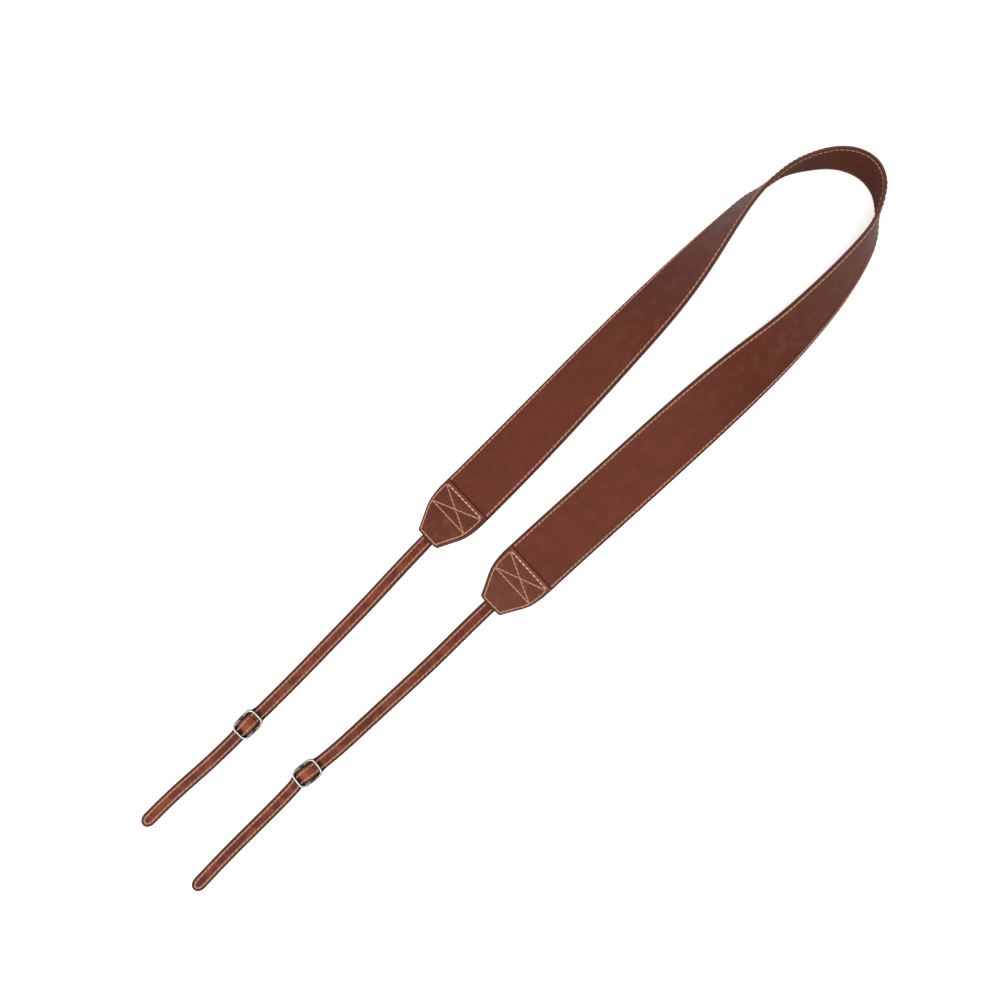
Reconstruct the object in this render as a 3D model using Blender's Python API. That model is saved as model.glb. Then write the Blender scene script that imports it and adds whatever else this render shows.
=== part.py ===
"""Leather camera neck strap lying on a table, the neck loop standing on its edge.

The strap is one route from the left tip, up the left arm, round the neck loop and back down to the right
tip. Every leather piece is a leaf laid along that route at its own depth in the sandwich. The origin is the
middle of the floor rectangle, +Y runs along the strap towards the neck loop and +Z is up.
"""
import math

import bmesh
import bpy
from mathutils import Matrix, Vector

MM = 0.001

# Leather sizes
BAND_WIDTH = 37.8 * MM
LEAF = 1.0 * MM           # the face leather and the lining leather, each
TAB_LEAF = 1.0 * MM
LAYER_GAP = 0.3 * MM      # clearance between one layer and the next
THIN_WIDTH = 9.1 * MM     # narrow strap above its buckle
TAIL_WIDTH = 8.8 * MM     # narrow strap below its buckle
THIN_LEAF = 1.8 * MM
TIP_LENGTH = 5.6 * MM     # rounded end of the tail
SKIVE_LENGTH = 4.0 * MM   # the narrow strap thickens to its full leaf over this length

# The tab and the sandwich under it, lengths measured from the tab's straight top edge
TAB_LENGTH = 34.5 * MM
TAB_CORNER = 1.0 * MM
TAB_INSET = 0.35 * MM     # the front tab stops this far inside the edge of the band
BACK_TAB_INSET = 1.1 * MM
ROOT_LENGTH = 26.5 * MM   # how far the narrow strap's root reaches back from the tab's narrow end
SLOT_CLEARANCE = 0.35 * MM

# How the strap comes down to the table past each tab
FADE_LENGTH = 135.0 * MM  # lean and height die away over this length
LIFT_LENGTH = 30.0 * MM   # the band rises onto the back tab over this length

# Slide buckle: a bowed wire frame with one centre bar
WIRE_RADIUS = 0.75 * MM
FRAME_HALF_LENGTH = 8.1 * MM
FRAME_HALF_WIDTH = 5.95 * MM
FRAME_SQUARENESS = 4.5
FRAME_POINTS = 48
WIRE_SIDES = 8
BAR_HALF_WIDTH = 0.9 * MM
BAR_HALF_THICK = 0.6 * MM
BAR_DROP = 0.4 * MM       # the centre bar sits this far below the frame's plane
WEAVE_HALF_LENGTH = 6.8 * MM

# Middle of the floor rectangle in the stations' own numbers, taken off every station
CENTRE_X_MM = 17.30
CENTRE_Y_MM = -1.94

# Centre line of the band from the left tab's top edge to the right tab's top edge, seen from above.
# A lean of 0 is flat on the table, 90 is standing on the outer edge, more leans outwards.
BAND_STATIONS = [
    # x_mm, y_mm, lean_deg
    (-15.5, -13.8, 22.3),
    (-15.6, 32.7, 24.3),
    (-16.5, 77.3, 29.1),
    (-17.6, 122.1, 36.2),
    (-18.6, 156.8, 44.4),
    (-20.4, 185.3, 56.1),
    (-22.5, 209.5, 68.7),
    (-23.7, 229.4, 78.1),
    (-23.5, 240.3, 82.6),
    (-21.7, 251.2, 87.6),
    (-19.2, 264.2, 89.1),
    (-13.6, 275.9, 92.3),
    (-4.8, 287.9, 94.3),
    (6.0, 295.5, 93.9),
    (17.5, 297.6, 90.8),
    (28.1, 293.8, 85.0),
    (36.3, 285.5, 78.9),
    (44.0, 273.0, 70.3),
    (48.1, 258.6, 62.9),
    (50.9, 238.5, 54.8),
    (52.2, 218.6, 47.9),
    (52.4, 194.3, 40.0),
    (50.9, 165.9, 27.4),
    (48.9, 132.3, 14.6),
    (46.9, 92.4, 5.0),
    (44.5, 42.6, 3.3),
    (41.6, -15.9, 5.0),
]

# Centre line of each narrow strap, from the tab's narrow end to the tip
LEFT_STATIONS = [
    # x_mm, y_mm
    (-15.7, -48.2),
    (-15.1, -74.0),
    (-14.1, -98.7),
    (-13.3, -135.7),
    (-12.8, -170.0),
    (-12.9, -207.3),
    (-13.3, -240.0),
    (-15.0, -272.0),
    (-15.1, -297.3),
]
RIGHT_STATIONS = [
    # x_mm, y_mm
    (40.3, -50.8),
    (39.9, -74.0),
    (39.7, -98.7),
    (38.8, -126.0),
    (37.4, -160.4),
    (35.8, -187.0),
    (33.9, -206.0),
    (34.1, -220.0),
    (34.3, -240.0),
    (34.2, -271.5),
    (35.0, -303.3),
]

# Outline of a tab, and of the band under it
TAB_OUTLINE = [
    # from_narrow_end_mm, share_of_half_width
    (0.0, 0.440),
    (5.0, 0.576),
    (9.0, 0.688),
    (12.5, 0.790),
    (15.0, 0.855),
    (17.5, 0.905),
    (20.0, 0.941),
    (23.0, 0.970),
    (26.0, 0.990),
    (29.0, 1.000),
]

# Buckle and tip along the route from the tab's top edge, and the buckle's turn on the strap
SIDES = {
    # side: buckle_mm, buckle_shift_mm, buckle_turn_deg
    "left": (193.6, -0.4, 0.5),
    "right": (187.0, -0.35, -3.5),
}

# Section places along the band: closer together round the neck loop
BAND_PITCH = [
    # from_mm, pitch_mm
    (0.0, 6.0),
    (180.0, 3.0),
    (470.0, 6.0),
]


def smooth(t):
    """Ease from 0 to 1 with level ends."""
    t = min(1.0, max(0.0, t))
    return t * t * (3.0 - 2.0 * t)


def spline(knots, values):
    """Natural cubic through the values at the knots."""
    n = len(knots)
    gaps = [knots[i + 1] - knots[i] for i in range(n - 1)]
    slopes = [(values[i + 1] - values[i]) / gaps[i] for i in range(n - 1)]
    upper = [0.0] * n
    bends = [0.0] * n
    for i in range(1, n - 1):
        pivot = 2.0 * (gaps[i - 1] + gaps[i]) - gaps[i - 1] * upper[i - 1]
        upper[i] = gaps[i] / pivot
        bends[i] = (6.0 * (slopes[i] - slopes[i - 1]) - gaps[i - 1] * bends[i - 1]) / pivot
    for i in range(n - 2, 0, -1):
        bends[i] -= upper[i] * bends[i + 1]

    def value(u):
        i = 0
        while i < n - 2 and u > knots[i + 1]:
            i += 1
        a = knots[i + 1] - u
        b = u - knots[i]
        g = gaps[i]
        if b < 0.0:
            return values[0] + b * (slopes[0] - g * bends[1] / 6.0)
        if a < 0.0:
            return values[-1] - a * (slopes[-1] + g * bends[n - 2] / 6.0)
        cubic = (bends[i] * a ** 3 + bends[i + 1] * b ** 3) / (6.0 * g)
        left = (values[i] / g - bends[i] * g / 6.0) * a
        right = (values[i + 1] / g - bends[i + 1] * g / 6.0) * b
        return cubic + left + right

    return value


def plan(row):
    """A station's place on the floor, in metres from the middle of the floor rectangle."""
    return Vector(((row[0] - CENTRE_X_MM) * MM, (row[1] - CENTRE_Y_MM) * MM, 0.0))


class Route:
    """The strap's middle surface. Lengths run from the left tab's top edge, negative down the left tail."""

    def __init__(self):
        left = [plan(row) for row in reversed(LEFT_STATIONS)]
        band = [plan(row) for row in BAND_STATIONS]
        right = [plan(row) for row in RIGHT_STATIONS]
        places = left + band + right
        lengths = [0.0]
        for a, b in zip(places, places[1:]):
            lengths.append(lengths[-1] + (b - a).length)
        start = lengths[len(left)]
        knots = [length - start for length in lengths]
        self.first = knots[0]
        self.last = knots[-1]
        self.band_end = knots[len(left) + len(band) - 1]
        self.x = spline(knots, [p.x for p in places])
        self.y = spline(knots, [p.y for p in places])
        band_knots = knots[len(left):len(left) + len(band)]
        self.band_lean = spline(band_knots, [math.radians(row[2]) for row in BAND_STATIONS])
        self.buckles = {
            "left": -SIDES["left"][0] * MM,
            "right": self.band_end + SIDES["right"][0] * MM,
        }

    def past_tab(self, u):
        """Length past the nearer tab's top edge, 0 on the band."""
        return max(0.0, -u, u - self.band_end)

    def lean(self, u):
        on_band = min(self.band_end, max(0.0, u))
        return self.band_lean(on_band) * (1.0 - smooth(self.past_tab(u) / FADE_LENGTH))

    def height(self, u):
        """Height of the middle surface with the lowest layer just touching the table."""
        on_band = min(self.band_end, max(0.0, u))
        near_tab = 1.0 - smooth(min(on_band, self.band_end - on_band) / LIFT_LENGTH)
        depth = LAYER_GAP / 2 + LEAF + near_tab * (LAYER_GAP + TAB_LEAF)
        half = BAND_WIDTH / 2 - near_tab * BACK_TAB_INSET
        lean = self.band_lean(on_band)
        resting = half * math.sin(lean) + depth * abs(math.cos(lean))
        flat = LAYER_GAP / 2 + THIN_LEAF
        z = resting + (flat - resting) * smooth(self.past_tab(u) / FADE_LENGTH)
        for place in self.buckles.values():
            away = abs(u - place) / WEAVE_HALF_LENGTH
            if away < 1.0:
                z += WEAVE_RISE * math.cos(math.pi / 2 * away) ** 2
        return z

    def middle(self, u):
        return Vector((self.x(u), self.y(u), self.height(u)))

    def frame(self, u):
        """Middle point, direction across towards the inner edge, and direction out of the face."""
        step = 0.05 * MM
        along = (self.middle(u + step) - self.middle(u - step)).normalized()
        inwards = along.cross(Vector((0.0, 0.0, 1.0))).normalized()
        rising = inwards.cross(along)
        lean = self.lean(u)
        across = inwards * math.cos(lean) + rising * math.sin(lean)
        face = rising * math.cos(lean) - inwards * math.sin(lean)
        return self.middle(u), across, face

    def point(self, u, v, q):
        """The point v across and q out of the middle surface at length u."""
        place, across, face = self.frame(u)
        return place + across * v + face * q

    def from_tab(self, side, d):
        """The route length that is d past a side's tab top edge."""
        return -d if side == "left" else self.band_end + d


# The centre bar lifts the narrow strap clear of it by one layer gap
FRAME_HEIGHT = THIN_LEAF + LAYER_GAP + WIRE_RADIUS
WEAVE_RISE = FRAME_HEIGHT - BAR_DROP + BAR_HALF_THICK + LAYER_GAP

ROUTE = Route()
OUTLINE = spline([row[0] * MM for row in TAB_OUTLINE], [row[1] for row in TAB_OUTLINE])


def tab_half_width(d):
    """Half width of the tab, and of the band under it, d past the tab's top edge."""
    left = max(0.0, TAB_LENGTH - d)
    if left > TAB_OUTLINE[-1][0] * MM:
        return BAND_WIDTH / 2
    half = min(1.0, OUTLINE(left)) * BAND_WIDTH / 2
    if left < TAB_CORNER:
        half -= TAB_CORNER - math.sqrt(TAB_CORNER ** 2 - (TAB_CORNER - left) ** 2)
    return half


def thin_half_width(side, u):
    """Half width of the narrow strap: a little slimmer past the buckle, rounded at the tip."""
    d = ROUTE.past_tab(u)
    past_buckle = smooth((d - SIDES[side][0] * MM) / (2 * WEAVE_HALF_LENGTH) + 0.5)
    half = (THIN_WIDTH + (TAIL_WIDTH - THIN_WIDTH) * past_buckle) / 2
    tip = abs(ROUTE.first) if side == "left" else ROUTE.last - ROUTE.band_end
    left = tip - d
    if left < TIP_LENGTH:
        half *= math.sqrt(max(0.0, 1.0 - (1.0 - left / TIP_LENGTH) ** 2))
    return half


def spread(start, stop, pitch):
    """Evenly spaced lengths from start to stop, both kept, no further apart than the pitch."""
    count = max(1, math.ceil(abs(stop - start) / pitch - 1e-6))
    return [start + (stop - start) * i / count for i in range(count + 1)]


def band_places():
    """Route lengths of the band's sections between the two tab tops."""
    starts = [row[0] * MM for row in BAND_PITCH] + [ROUTE.band_end]
    places = [0.0]
    for (_, pitch), a, b in zip(BAND_PITCH, starts, starts[1:]):
        places += spread(a, b, pitch * MM)[1:]
    return places


def tab_places():
    """Distances past the tab's top edge of the sections that every layer of the sandwich shares."""
    slot_end = TAB_LENGTH - ROOT_LENGTH - SLOT_CLEARANCE
    rounding = [TAB_LENGTH - TAB_CORNER * share for share in (1.0, 0.5, 0.15, 0.0)]
    return spread(0.0, slot_end, 3.0 * MM) + spread(slot_end, rounding[0], 2.0 * MM)[1:] + rounding[1:]


def full_cell(row, column):
    return True


def leaf(name, rows, material, cell=full_cell):
    """One closed leather leaf. Each row is (u, [v...], lowest q, highest q); a cell that is left out is a slot."""
    mesh = bmesh.new()
    low = []
    high = []
    for u, breaks, bottom, top in rows:
        low.append([mesh.verts.new(ROUTE.point(u, v, bottom)) for v in breaks])
        high.append([mesh.verts.new(ROUTE.point(u, v, top)) for v in breaks])
    columns = len(rows[0][1]) - 1

    def solid(i, j):
        return 0 <= i < len(rows) - 1 and 0 <= j < columns and cell(i, j)

    for i in range(len(rows) - 1):
        for j in range(columns):
            if not solid(i, j):
                continue
            mesh.faces.new((high[i][j], high[i][j + 1], high[i + 1][j + 1], high[i + 1][j]))
            mesh.faces.new((low[i][j], low[i + 1][j], low[i + 1][j + 1], low[i][j + 1]))
            sides = [
                ((i - 1, j), (i, j), (i, j + 1)),
                ((i + 1, j), (i + 1, j + 1), (i + 1, j)),
                ((i, j - 1), (i + 1, j), (i, j)),
                ((i, j + 1), (i, j + 1), (i + 1, j + 1)),
            ]
            for beside, a, b in sides:
                if solid(*beside):
                    continue
                mesh.faces.new((high[a[0]][a[1]], low[a[0]][a[1]], low[b[0]][b[1]], high[b[0]][b[1]]))
    loose = [vert for vert in mesh.verts if not vert.link_faces]
    bmesh.ops.delete(mesh, geom=loose, context="VERTS")
    return finish(name, mesh, material)


def finish(name, mesh, material):
    """Turn a closed bmesh into a named object with outward triangles."""
    bmesh.ops.recalc_face_normals(mesh, faces=mesh.faces)
    bmesh.ops.triangulate(mesh, faces=mesh.faces)
    data = bpy.data.meshes.new(name)
    mesh.to_mesh(data)
    mesh.free()
    data.materials.append(material)
    piece = bpy.data.objects.new(name, data)
    bpy.context.scene.collection.objects.link(piece)
    return piece


def make_material(name, colour, metallic, roughness):
    material = bpy.data.materials.new(name)
    material.use_nodes = True
    shader = material.node_tree.nodes["Principled BSDF"]
    shader.inputs["Base Color"].default_value = (*colour, 1.0)
    shader.inputs["Metallic"].default_value = metallic
    shader.inputs["Roughness"].default_value = roughness
    material.diffuse_color = (*colour, 1.0)
    return material


def band_rows(breaks, bottom, top):
    """Rows from the left tab's narrow end, over the band, to the right tab's narrow end."""
    tabs = tab_places()
    places = [ROUTE.from_tab("left", d) for d in reversed(tabs[1:])]
    places += band_places()
    places += [ROUTE.from_tab("right", d) for d in tabs[1:]]
    rows = []
    for u in places:
        half = tab_half_width(ROUTE.past_tab(u))
        rows.append((u, breaks(half), bottom, top))
    return rows


def build_band_face(colour):
    """Front leather of the band, the full outline under both tabs."""
    bottom = LAYER_GAP / 2
    rows = band_rows(lambda half: [-half, half], bottom, bottom + LEAF)
    return leaf("band_face", rows, make_material("face_leather", colour, 0.0, 0.5))


def build_band_lining(colour):
    """Back leather of the band, slotted at both ends for the roots of the narrow straps."""
    slot = THIN_WIDTH / 2 + SLOT_CLEARANCE
    top = -LAYER_GAP / 2
    rows = band_rows(lambda half: [-half, -slot, slot, half], top - LEAF, top)
    slot_top = TAB_LENGTH - ROOT_LENGTH - SLOT_CLEARANCE

    def cell(i, j):
        inner = min(ROUTE.past_tab(rows[i][0]), ROUTE.past_tab(rows[i + 1][0]))
        return j != 1 or inner < slot_top - 0.001 * MM

    return leaf("band_lining", rows, make_material("lining_leather", colour, 0.0, 0.6), cell)


def build_tab(side, layer, colour):
    """One tab leaf, in front of the face leather or behind the lining."""
    inner = LAYER_GAP * 1.5 + LEAF
    outer = inner + TAB_LEAF
    bottom, top, inset = (inner, outer, TAB_INSET) if layer == "front" else (-outer, -inner, BACK_TAB_INSET)
    rows = []
    for d in tab_places():
        half = tab_half_width(d) - inset
        rows.append((ROUTE.from_tab(side, d), [-half, half], bottom, top))
    name = "tab_" + layer + "_" + side
    return leaf(name, rows, make_material(name + "_leather", colour, 0.0, 0.5))


def build_thin_strap(side, colour):
    """Narrow strap: skived root inside the sandwich, run down to the table, weave, tail and rounded tip."""
    tip = abs(ROUTE.first) if side == "left" else ROUTE.last - ROUTE.band_end
    buckle = SIDES[side][0] * MM
    weave = 1.15 * WEAVE_HALF_LENGTH
    places = spread(TAB_LENGTH - ROOT_LENGTH, TAB_LENGTH + 1.0 * MM, 5.0 * MM)
    places += spread(places[-1], places[-1] + SKIVE_LENGTH, 2.0 * MM)[1:]
    places += spread(places[-1], FADE_LENGTH, 6.0 * MM)[1:]
    places += spread(places[-1], buckle - weave, 12.0 * MM)[1:]
    places += spread(places[-1], buckle + weave, 0.85 * MM)[1:]
    places += spread(places[-1], tip - TIP_LENGTH, 10.0 * MM)[1:]
    for degrees in (65, 45, 30, 18, 8):
        places.append(tip - TIP_LENGTH * (1.0 - math.sin(math.radians(90 - degrees))))
    top = -LAYER_GAP / 2
    rows = []
    for d in places:
        u = ROUTE.from_tab(side, d)
        half = thin_half_width(side, u)
        full = smooth((d - TAB_LENGTH - 1.0 * MM) / SKIVE_LENGTH)
        rows.append((u, [-half, half], top - LEAF - (THIN_LEAF - LEAF) * full, top))
    name = "thin_strap_" + side
    return leaf(name, rows, make_material(name + "_leather", colour, 0.0, 0.5))


def ring_point(turn, out, up):
    """A point of the buckle's wire frame, out and up from the wire's own centre line."""
    c = math.cos(turn)
    s = math.sin(turn)
    power = 2.0 / FRAME_SQUARENESS
    x = math.copysign(abs(c) ** power, c)
    y = math.copysign(abs(s) ** power, s)
    return Vector((x * (FRAME_HALF_WIDTH + out), y * (FRAME_HALF_LENGTH + out), up))


def build_buckle(side, colour):
    """Slide buckle: bowed wire frame with the centre bar under the strap's crest."""
    mesh = bmesh.new()
    rings = []
    for i in range(FRAME_POINTS):
        turn = math.tau * i / FRAME_POINTS
        ring = []
        for k in range(WIRE_SIDES):
            angle = math.tau * (k + 0.5) / WIRE_SIDES
            out = WIRE_RADIUS * math.cos(angle)
            ring.append(mesh.verts.new(ring_point(turn, out, WIRE_RADIUS * math.sin(angle))))
        rings.append(ring)
    for ring, after in zip(rings, rings[1:] + rings[:1]):
        for k in range(WIRE_SIDES):
            n = (k + 1) % WIRE_SIDES
            mesh.faces.new((ring[k], after[k], after[n], ring[n]))
    name = "buckle_" + side
    material = make_material(name + "_metal", colour, 1.0, 0.35)
    frame = finish(name, mesh, material)

    bar_mesh = bmesh.new()
    bmesh.ops.create_cone(
        bar_mesh, cap_ends=True, segments=12, radius1=1.0, radius2=1.0, depth=2 * FRAME_HALF_WIDTH
    )
    flatten = Matrix.Diagonal((BAR_HALF_THICK, BAR_HALF_WIDTH, 1.0, 1.0))
    lay_down = Matrix.Rotation(math.pi / 2, 4, "Y")
    lower = Matrix.Translation((0.0, 0.0, -BAR_DROP))
    bmesh.ops.transform(bar_mesh, matrix=lower @ lay_down @ flatten, verts=bar_mesh.verts)
    bar = finish(name + "_bar", bar_mesh, material)

    join = frame.modifiers.new("join_bar", "BOOLEAN")
    join.operation = "UNION"
    join.solver = "EXACT"
    join.object = bar
    evaluated = frame.evaluated_get(bpy.context.evaluated_depsgraph_get())
    joined = bpy.data.meshes.new_from_object(evaluated)
    bpy.data.objects.remove(bar)
    bpy.data.objects.remove(frame)

    place_u = ROUTE.buckles[side]
    _, shift, turn = SIDES[side]
    centre = ROUTE.middle(place_u)
    ahead = ROUTE.middle(place_u + 5.0 * MM) - ROUTE.middle(place_u - 5.0 * MM)
    heading = math.atan2(ahead.y, ahead.x) - math.pi / 2
    if side == "right":
        heading += math.pi
    spin = Matrix.Rotation(heading + math.radians(turn), 4, "Z")
    place = Matrix.Translation((centre.x + shift * MM, centre.y, FRAME_HEIGHT))
    joined.transform(place @ spin)
    joined.name = name
    joined.materials.clear()
    joined.materials.append(material)
    piece = bpy.data.objects.new(name, joined)
    bpy.context.scene.collection.objects.link(piece)
    return piece


def main():
    for piece in list(bpy.data.objects):
        bpy.data.objects.remove(piece, do_unlink=True)
    brown = (0.19, 0.065, 0.035)
    dark_brown = (0.10, 0.038, 0.024)
    build_band_face(brown)
    build_band_lining(dark_brown)
    for side in ("left", "right"):
        build_tab(side, "front", (0.17, 0.055, 0.03))
        build_tab(side, "back", (0.12, 0.045, 0.028))
        build_thin_strap(side, (0.22, 0.075, 0.04))
        build_buckle(side, (0.56, 0.53, 0.50))


main()
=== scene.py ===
"""Leather camera neck strap: the fine leather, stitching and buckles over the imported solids, and the stage.

The file is laid out as an add-on and run as a script. Each operator makes one group of pieces. The strap is
one route from the left tip, up the left arm, round the neck loop and down to the right tip, and every leather
piece is a leaf laid along it. Lengths are in metres.
"""
import math

import bpy
import numpy as np
from bpy.props import FloatProperty, FloatVectorProperty, PointerProperty
from bpy.types import Operator, Panel, PropertyGroup
from mathutils import Matrix, Vector


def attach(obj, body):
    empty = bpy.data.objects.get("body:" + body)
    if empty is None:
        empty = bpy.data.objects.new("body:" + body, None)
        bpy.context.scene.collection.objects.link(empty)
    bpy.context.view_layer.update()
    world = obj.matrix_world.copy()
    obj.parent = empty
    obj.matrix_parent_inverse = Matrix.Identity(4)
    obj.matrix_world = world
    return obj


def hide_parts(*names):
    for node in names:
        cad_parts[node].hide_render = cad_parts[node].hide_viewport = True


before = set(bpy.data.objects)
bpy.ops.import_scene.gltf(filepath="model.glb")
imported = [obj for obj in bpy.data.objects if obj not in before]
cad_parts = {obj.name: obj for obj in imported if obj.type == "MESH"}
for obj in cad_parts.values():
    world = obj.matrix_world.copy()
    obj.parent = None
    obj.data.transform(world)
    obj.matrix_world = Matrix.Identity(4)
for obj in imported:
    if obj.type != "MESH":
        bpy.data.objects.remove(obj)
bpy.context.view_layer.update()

bl_info = {
    "name": "Leather Camera Strap",
    "version": (1, 0, 0),
    "blender": (4, 5, 0),
    "location": "3D View > Sidebar > Strap",
    "description": "Leather, stitching, buckles and stage of a leather camera neck strap",
    "category": "Add Mesh",
}

# Leather sizes, the same as the solids
BAND_WIDTH = 0.0378
LEAF = 0.0010
TAB_LEAF = 0.0010
LAYER_GAP = 0.0003
THIN_WIDTH = 0.0091
TAIL_WIDTH = 0.0088
THIN_LEAF = 0.0018
TIP_LENGTH = 0.0056
SKIVE_LENGTH = 0.004
TAB_LENGTH = 0.0345
TAB_CORNER = 0.001
TAB_INSET = 0.00035
BACK_TAB_INSET = 0.0011
FADE_LENGTH = 0.135
LIFT_LENGTH = 0.030

# Slide buckle, the same as the solids
WIRE_RADIUS = 0.00075
WIRE_DEPTH = 0.00105      # the wire's rounded underside reaches this far below its centre line
FRAME_HALF_LENGTH = 0.0081
FRAME_HALF_WIDTH = 0.00595
FRAME_SQUARENESS = 4.5
BAR_HALF_WIDTH = 0.0009
BAR_HALF_THICK = 0.0006
BAR_DROP = 0.0004
BAR_END_DROP = 0.6        # share of that drop at the bar's ends
BAR_SWELL = 0.4           # the bar grows by this share where it meets the frame
SWELL_REACH = 0.0014
JOINT_REACH = 0.0022      # the nickel is darkest this far round the bar's ends
WEAVE_HALF_LENGTH = 0.0068
FRAME_HEIGHT = THIN_LEAF + LAYER_GAP + WIRE_RADIUS
WEAVE_RISE = FRAME_HEIGHT - BAR_DROP + BAR_HALF_THICK + LAYER_GAP

# Fine leaves: the glued faces meet with only a hairline between them
GLUE_LINE = 0.00002
FACE_LOW = GLUE_LINE
FACE_HIGH = LAYER_GAP / 2 + LEAF
TAB_LOW = FACE_HIGH + GLUE_LINE
TAB_HIGH = TAB_LOW + 0.9 * TAB_LEAF
THIN_HIGH = -LAYER_GAP / 2
THIN_ROOT = 0.030         # where the visible narrow strap starts inside the sandwich
THIN_CROWN = 0.00022      # the middle of the narrow strap stands this much above its edges
THIN_ROUND = 0.00045      # radius of its edges
FACE_UNDER_ROUND = 0.00012  # radius of the band's edges at the glue line
TAB_UNDER_ROUND = 0.0001  # the same on the tabs
THIN_UNDER_ROUND = 0.0004  # radius of the narrow strap's edges towards the table
TAB_TOP_CORNER = 0.0006   # radius of the corners at the ends of the tab's top edge
TIP_ROUND = 0.0006        # the narrow strap's face rounds off over this length at its tip
DIP_SHIFT = 0.0011        # the painted shadow of each end bar lies this far to the tab's side of it
HUMP_SPREAD = 0.00058     # each edge spreads this much where the strap is forced through the frame
HUMP_REACH = 0.0085
LINE_UP_REACH = 0.0100    # the strap is in line with its buckle this far to each side of the bar
EDGE_STRIP = 0.0006       # the dark strip on a face, partly burnished and partly painted shade, reaches this far in from the rounded edge
THIN_STRIP = 0.0012       # the same on the narrow straps
BAND_FALL = 0.00025       # the faces fall this much from the middle of the band to its edges

# Painted shade: the band's face is darker where it lies round the neck and leans over
NECK_SHADE = 0.92
NECK_START = 0.085
NECK_FADE = 0.11

# How much darker each tab is made, and each tail past its buckle
TAB_DEPTH = {"left": 0.70, "right": 0.0}
TAIL_DEPTH = {"left": 0.0, "right": 1.0}
TAIL_FADE = 0.008         # the tail's darkening comes in over this length

# Painted shade, shadow and highlights, with some wear: the strength of each mark, and how far it reaches
STEP_SHADOW = 0.75          # painted shadow on the band against the tab's top edge
STEP_REACH = 0.0008
TOP_EDGE_REACH = 0.0009   # painted highlight along the tab's top edge
DIP_SHADOW = 0.93           # painted shadow of the buckle's end bars on the strap
DIP_REACH = 0.0015
RAIL_SHADE = 0.85          # painted shade on the strap's edges beside the buckle's side rails
RAIL_REACH = 0.0072
HUMP_RUB_AND_HIGHLIGHT_REACH = 0.0048   # the hump over the centre bar is lighter: rubbed wear and a painted highlight

# Finish of each leather
FINISHES = {
    # material: unevenness, blotches, share of the deep colour for dye and painted shade, grain, added
    # roughness, shine
    "face_leather": (0.28, 0.1, 0.62, 1.00, 0.00, 0.12),
    "lining_leather": (0.40, 0.0, 0.62, 0.80, 0.10, 0.03),
    "tab_leather": (0.50, 0.3, 0.62, 1.00, 0.00, 0.15),
    "tab_back_leather": (0.40, 0.0, 0.62, 0.80, 0.10, 0.03),
    "thin_strap_leather": (1.00, 0.8, 0.53, 0.85, 0.00, 0.12),
}

# Seams, lengths measured from the tab's straight top edge
TOP_ROW = 0.0020
BOX_TOP = 0.0026
BOX_LOW = 0.0158
END_ROW = 0.0016          # from the tab's narrow end
BAND_START = 0.0010       # the band's seams start this far from the tab's top edge
TOP_ROW_SHORT = 0.0004    # the top row ends this far inside the edge seams
EDGE_DRAW_IN = 0.0006     # the edge seams start this much further in from the tab's edge
EDGE_EASE = 0.016         # and come out to their own inset over this length
THIN_START = 0.0006       # the narrow strap's seams start this far past the tab
TIP_PITCH = 0.8           # length of the stitches round the tip, as a share
PULL_WIDTH = 0.0006
HOLE_REACH = 0.0006
PULL_SHARE = 0.6          # the thread's pull makes this share of a seam's depth
HOLE_SHARE = 0.4          # and the needle holes make this one

# How far the thread stands off its groove: below 0 it lies deeper
BAND_LIFT = -0.00016
TAB_LIFTS = {"front": 0.0, "back": -0.0002}
THIN_LIFTS = {"top": -0.00005, "under": -0.0005}

# Looks of the seams: the thread's thickness, its length between holes, and its darkening by wear and painted
# shade, all as shares
BAND_LOOK = (1.48, 0.95, 0.80)
# The lining's rows are darker: partly wear, partly painted shade, most on the lower row
RAISED_LINING_LOOK = (1.20, 0.90, 0.98)
LOW_LINING_LOOK = (1.00, 0.92, 1.30)
TAB_LOOK = (1.20, 0.98, 0.70)
TOP_ROW_LOOK = (1.30, 0.80, 0.0)
THIN_LOOK = (1.22, 1.00, 0.74)

# Middle of the floor rectangle in the stations' own numbers, taken off every station
CENTRE_X = 0.01730
CENTRE_Y = -0.00194

# Centre line of the band from the left tab's top edge to the right tab's top edge, seen from above
BAND_STATIONS = [
    # x, y, lean in degrees
    (-0.0155, -0.0138, 22.3),
    (-0.0156, 0.0327, 24.3),
    (-0.0165, 0.0773, 29.1),
    (-0.0176, 0.1221, 36.2),
    (-0.0186, 0.1568, 44.4),
    (-0.0204, 0.1853, 56.1),
    (-0.0225, 0.2095, 68.7),
    (-0.0237, 0.2294, 78.1),
    (-0.0235, 0.2403, 82.6),
    (-0.0217, 0.2512, 87.6),
    (-0.0192, 0.2642, 89.1),
    (-0.0136, 0.2759, 92.3),
    (-0.0048, 0.2879, 94.3),
    (0.0060, 0.2955, 93.9),
    (0.0175, 0.2976, 90.8),
    (0.0281, 0.2938, 85.0),
    (0.0363, 0.2855, 78.9),
    (0.0440, 0.2730, 70.3),
    (0.0481, 0.2586, 62.9),
    (0.0509, 0.2385, 54.8),
    (0.0522, 0.2186, 47.9),
    (0.0524, 0.1943, 40.0),
    (0.0509, 0.1659, 27.4),
    (0.0489, 0.1323, 14.6),
    (0.0469, 0.0924, 5.0),
    (0.0445, 0.0426, 3.3),
    (0.0416, -0.0159, 5.0),
]

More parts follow.
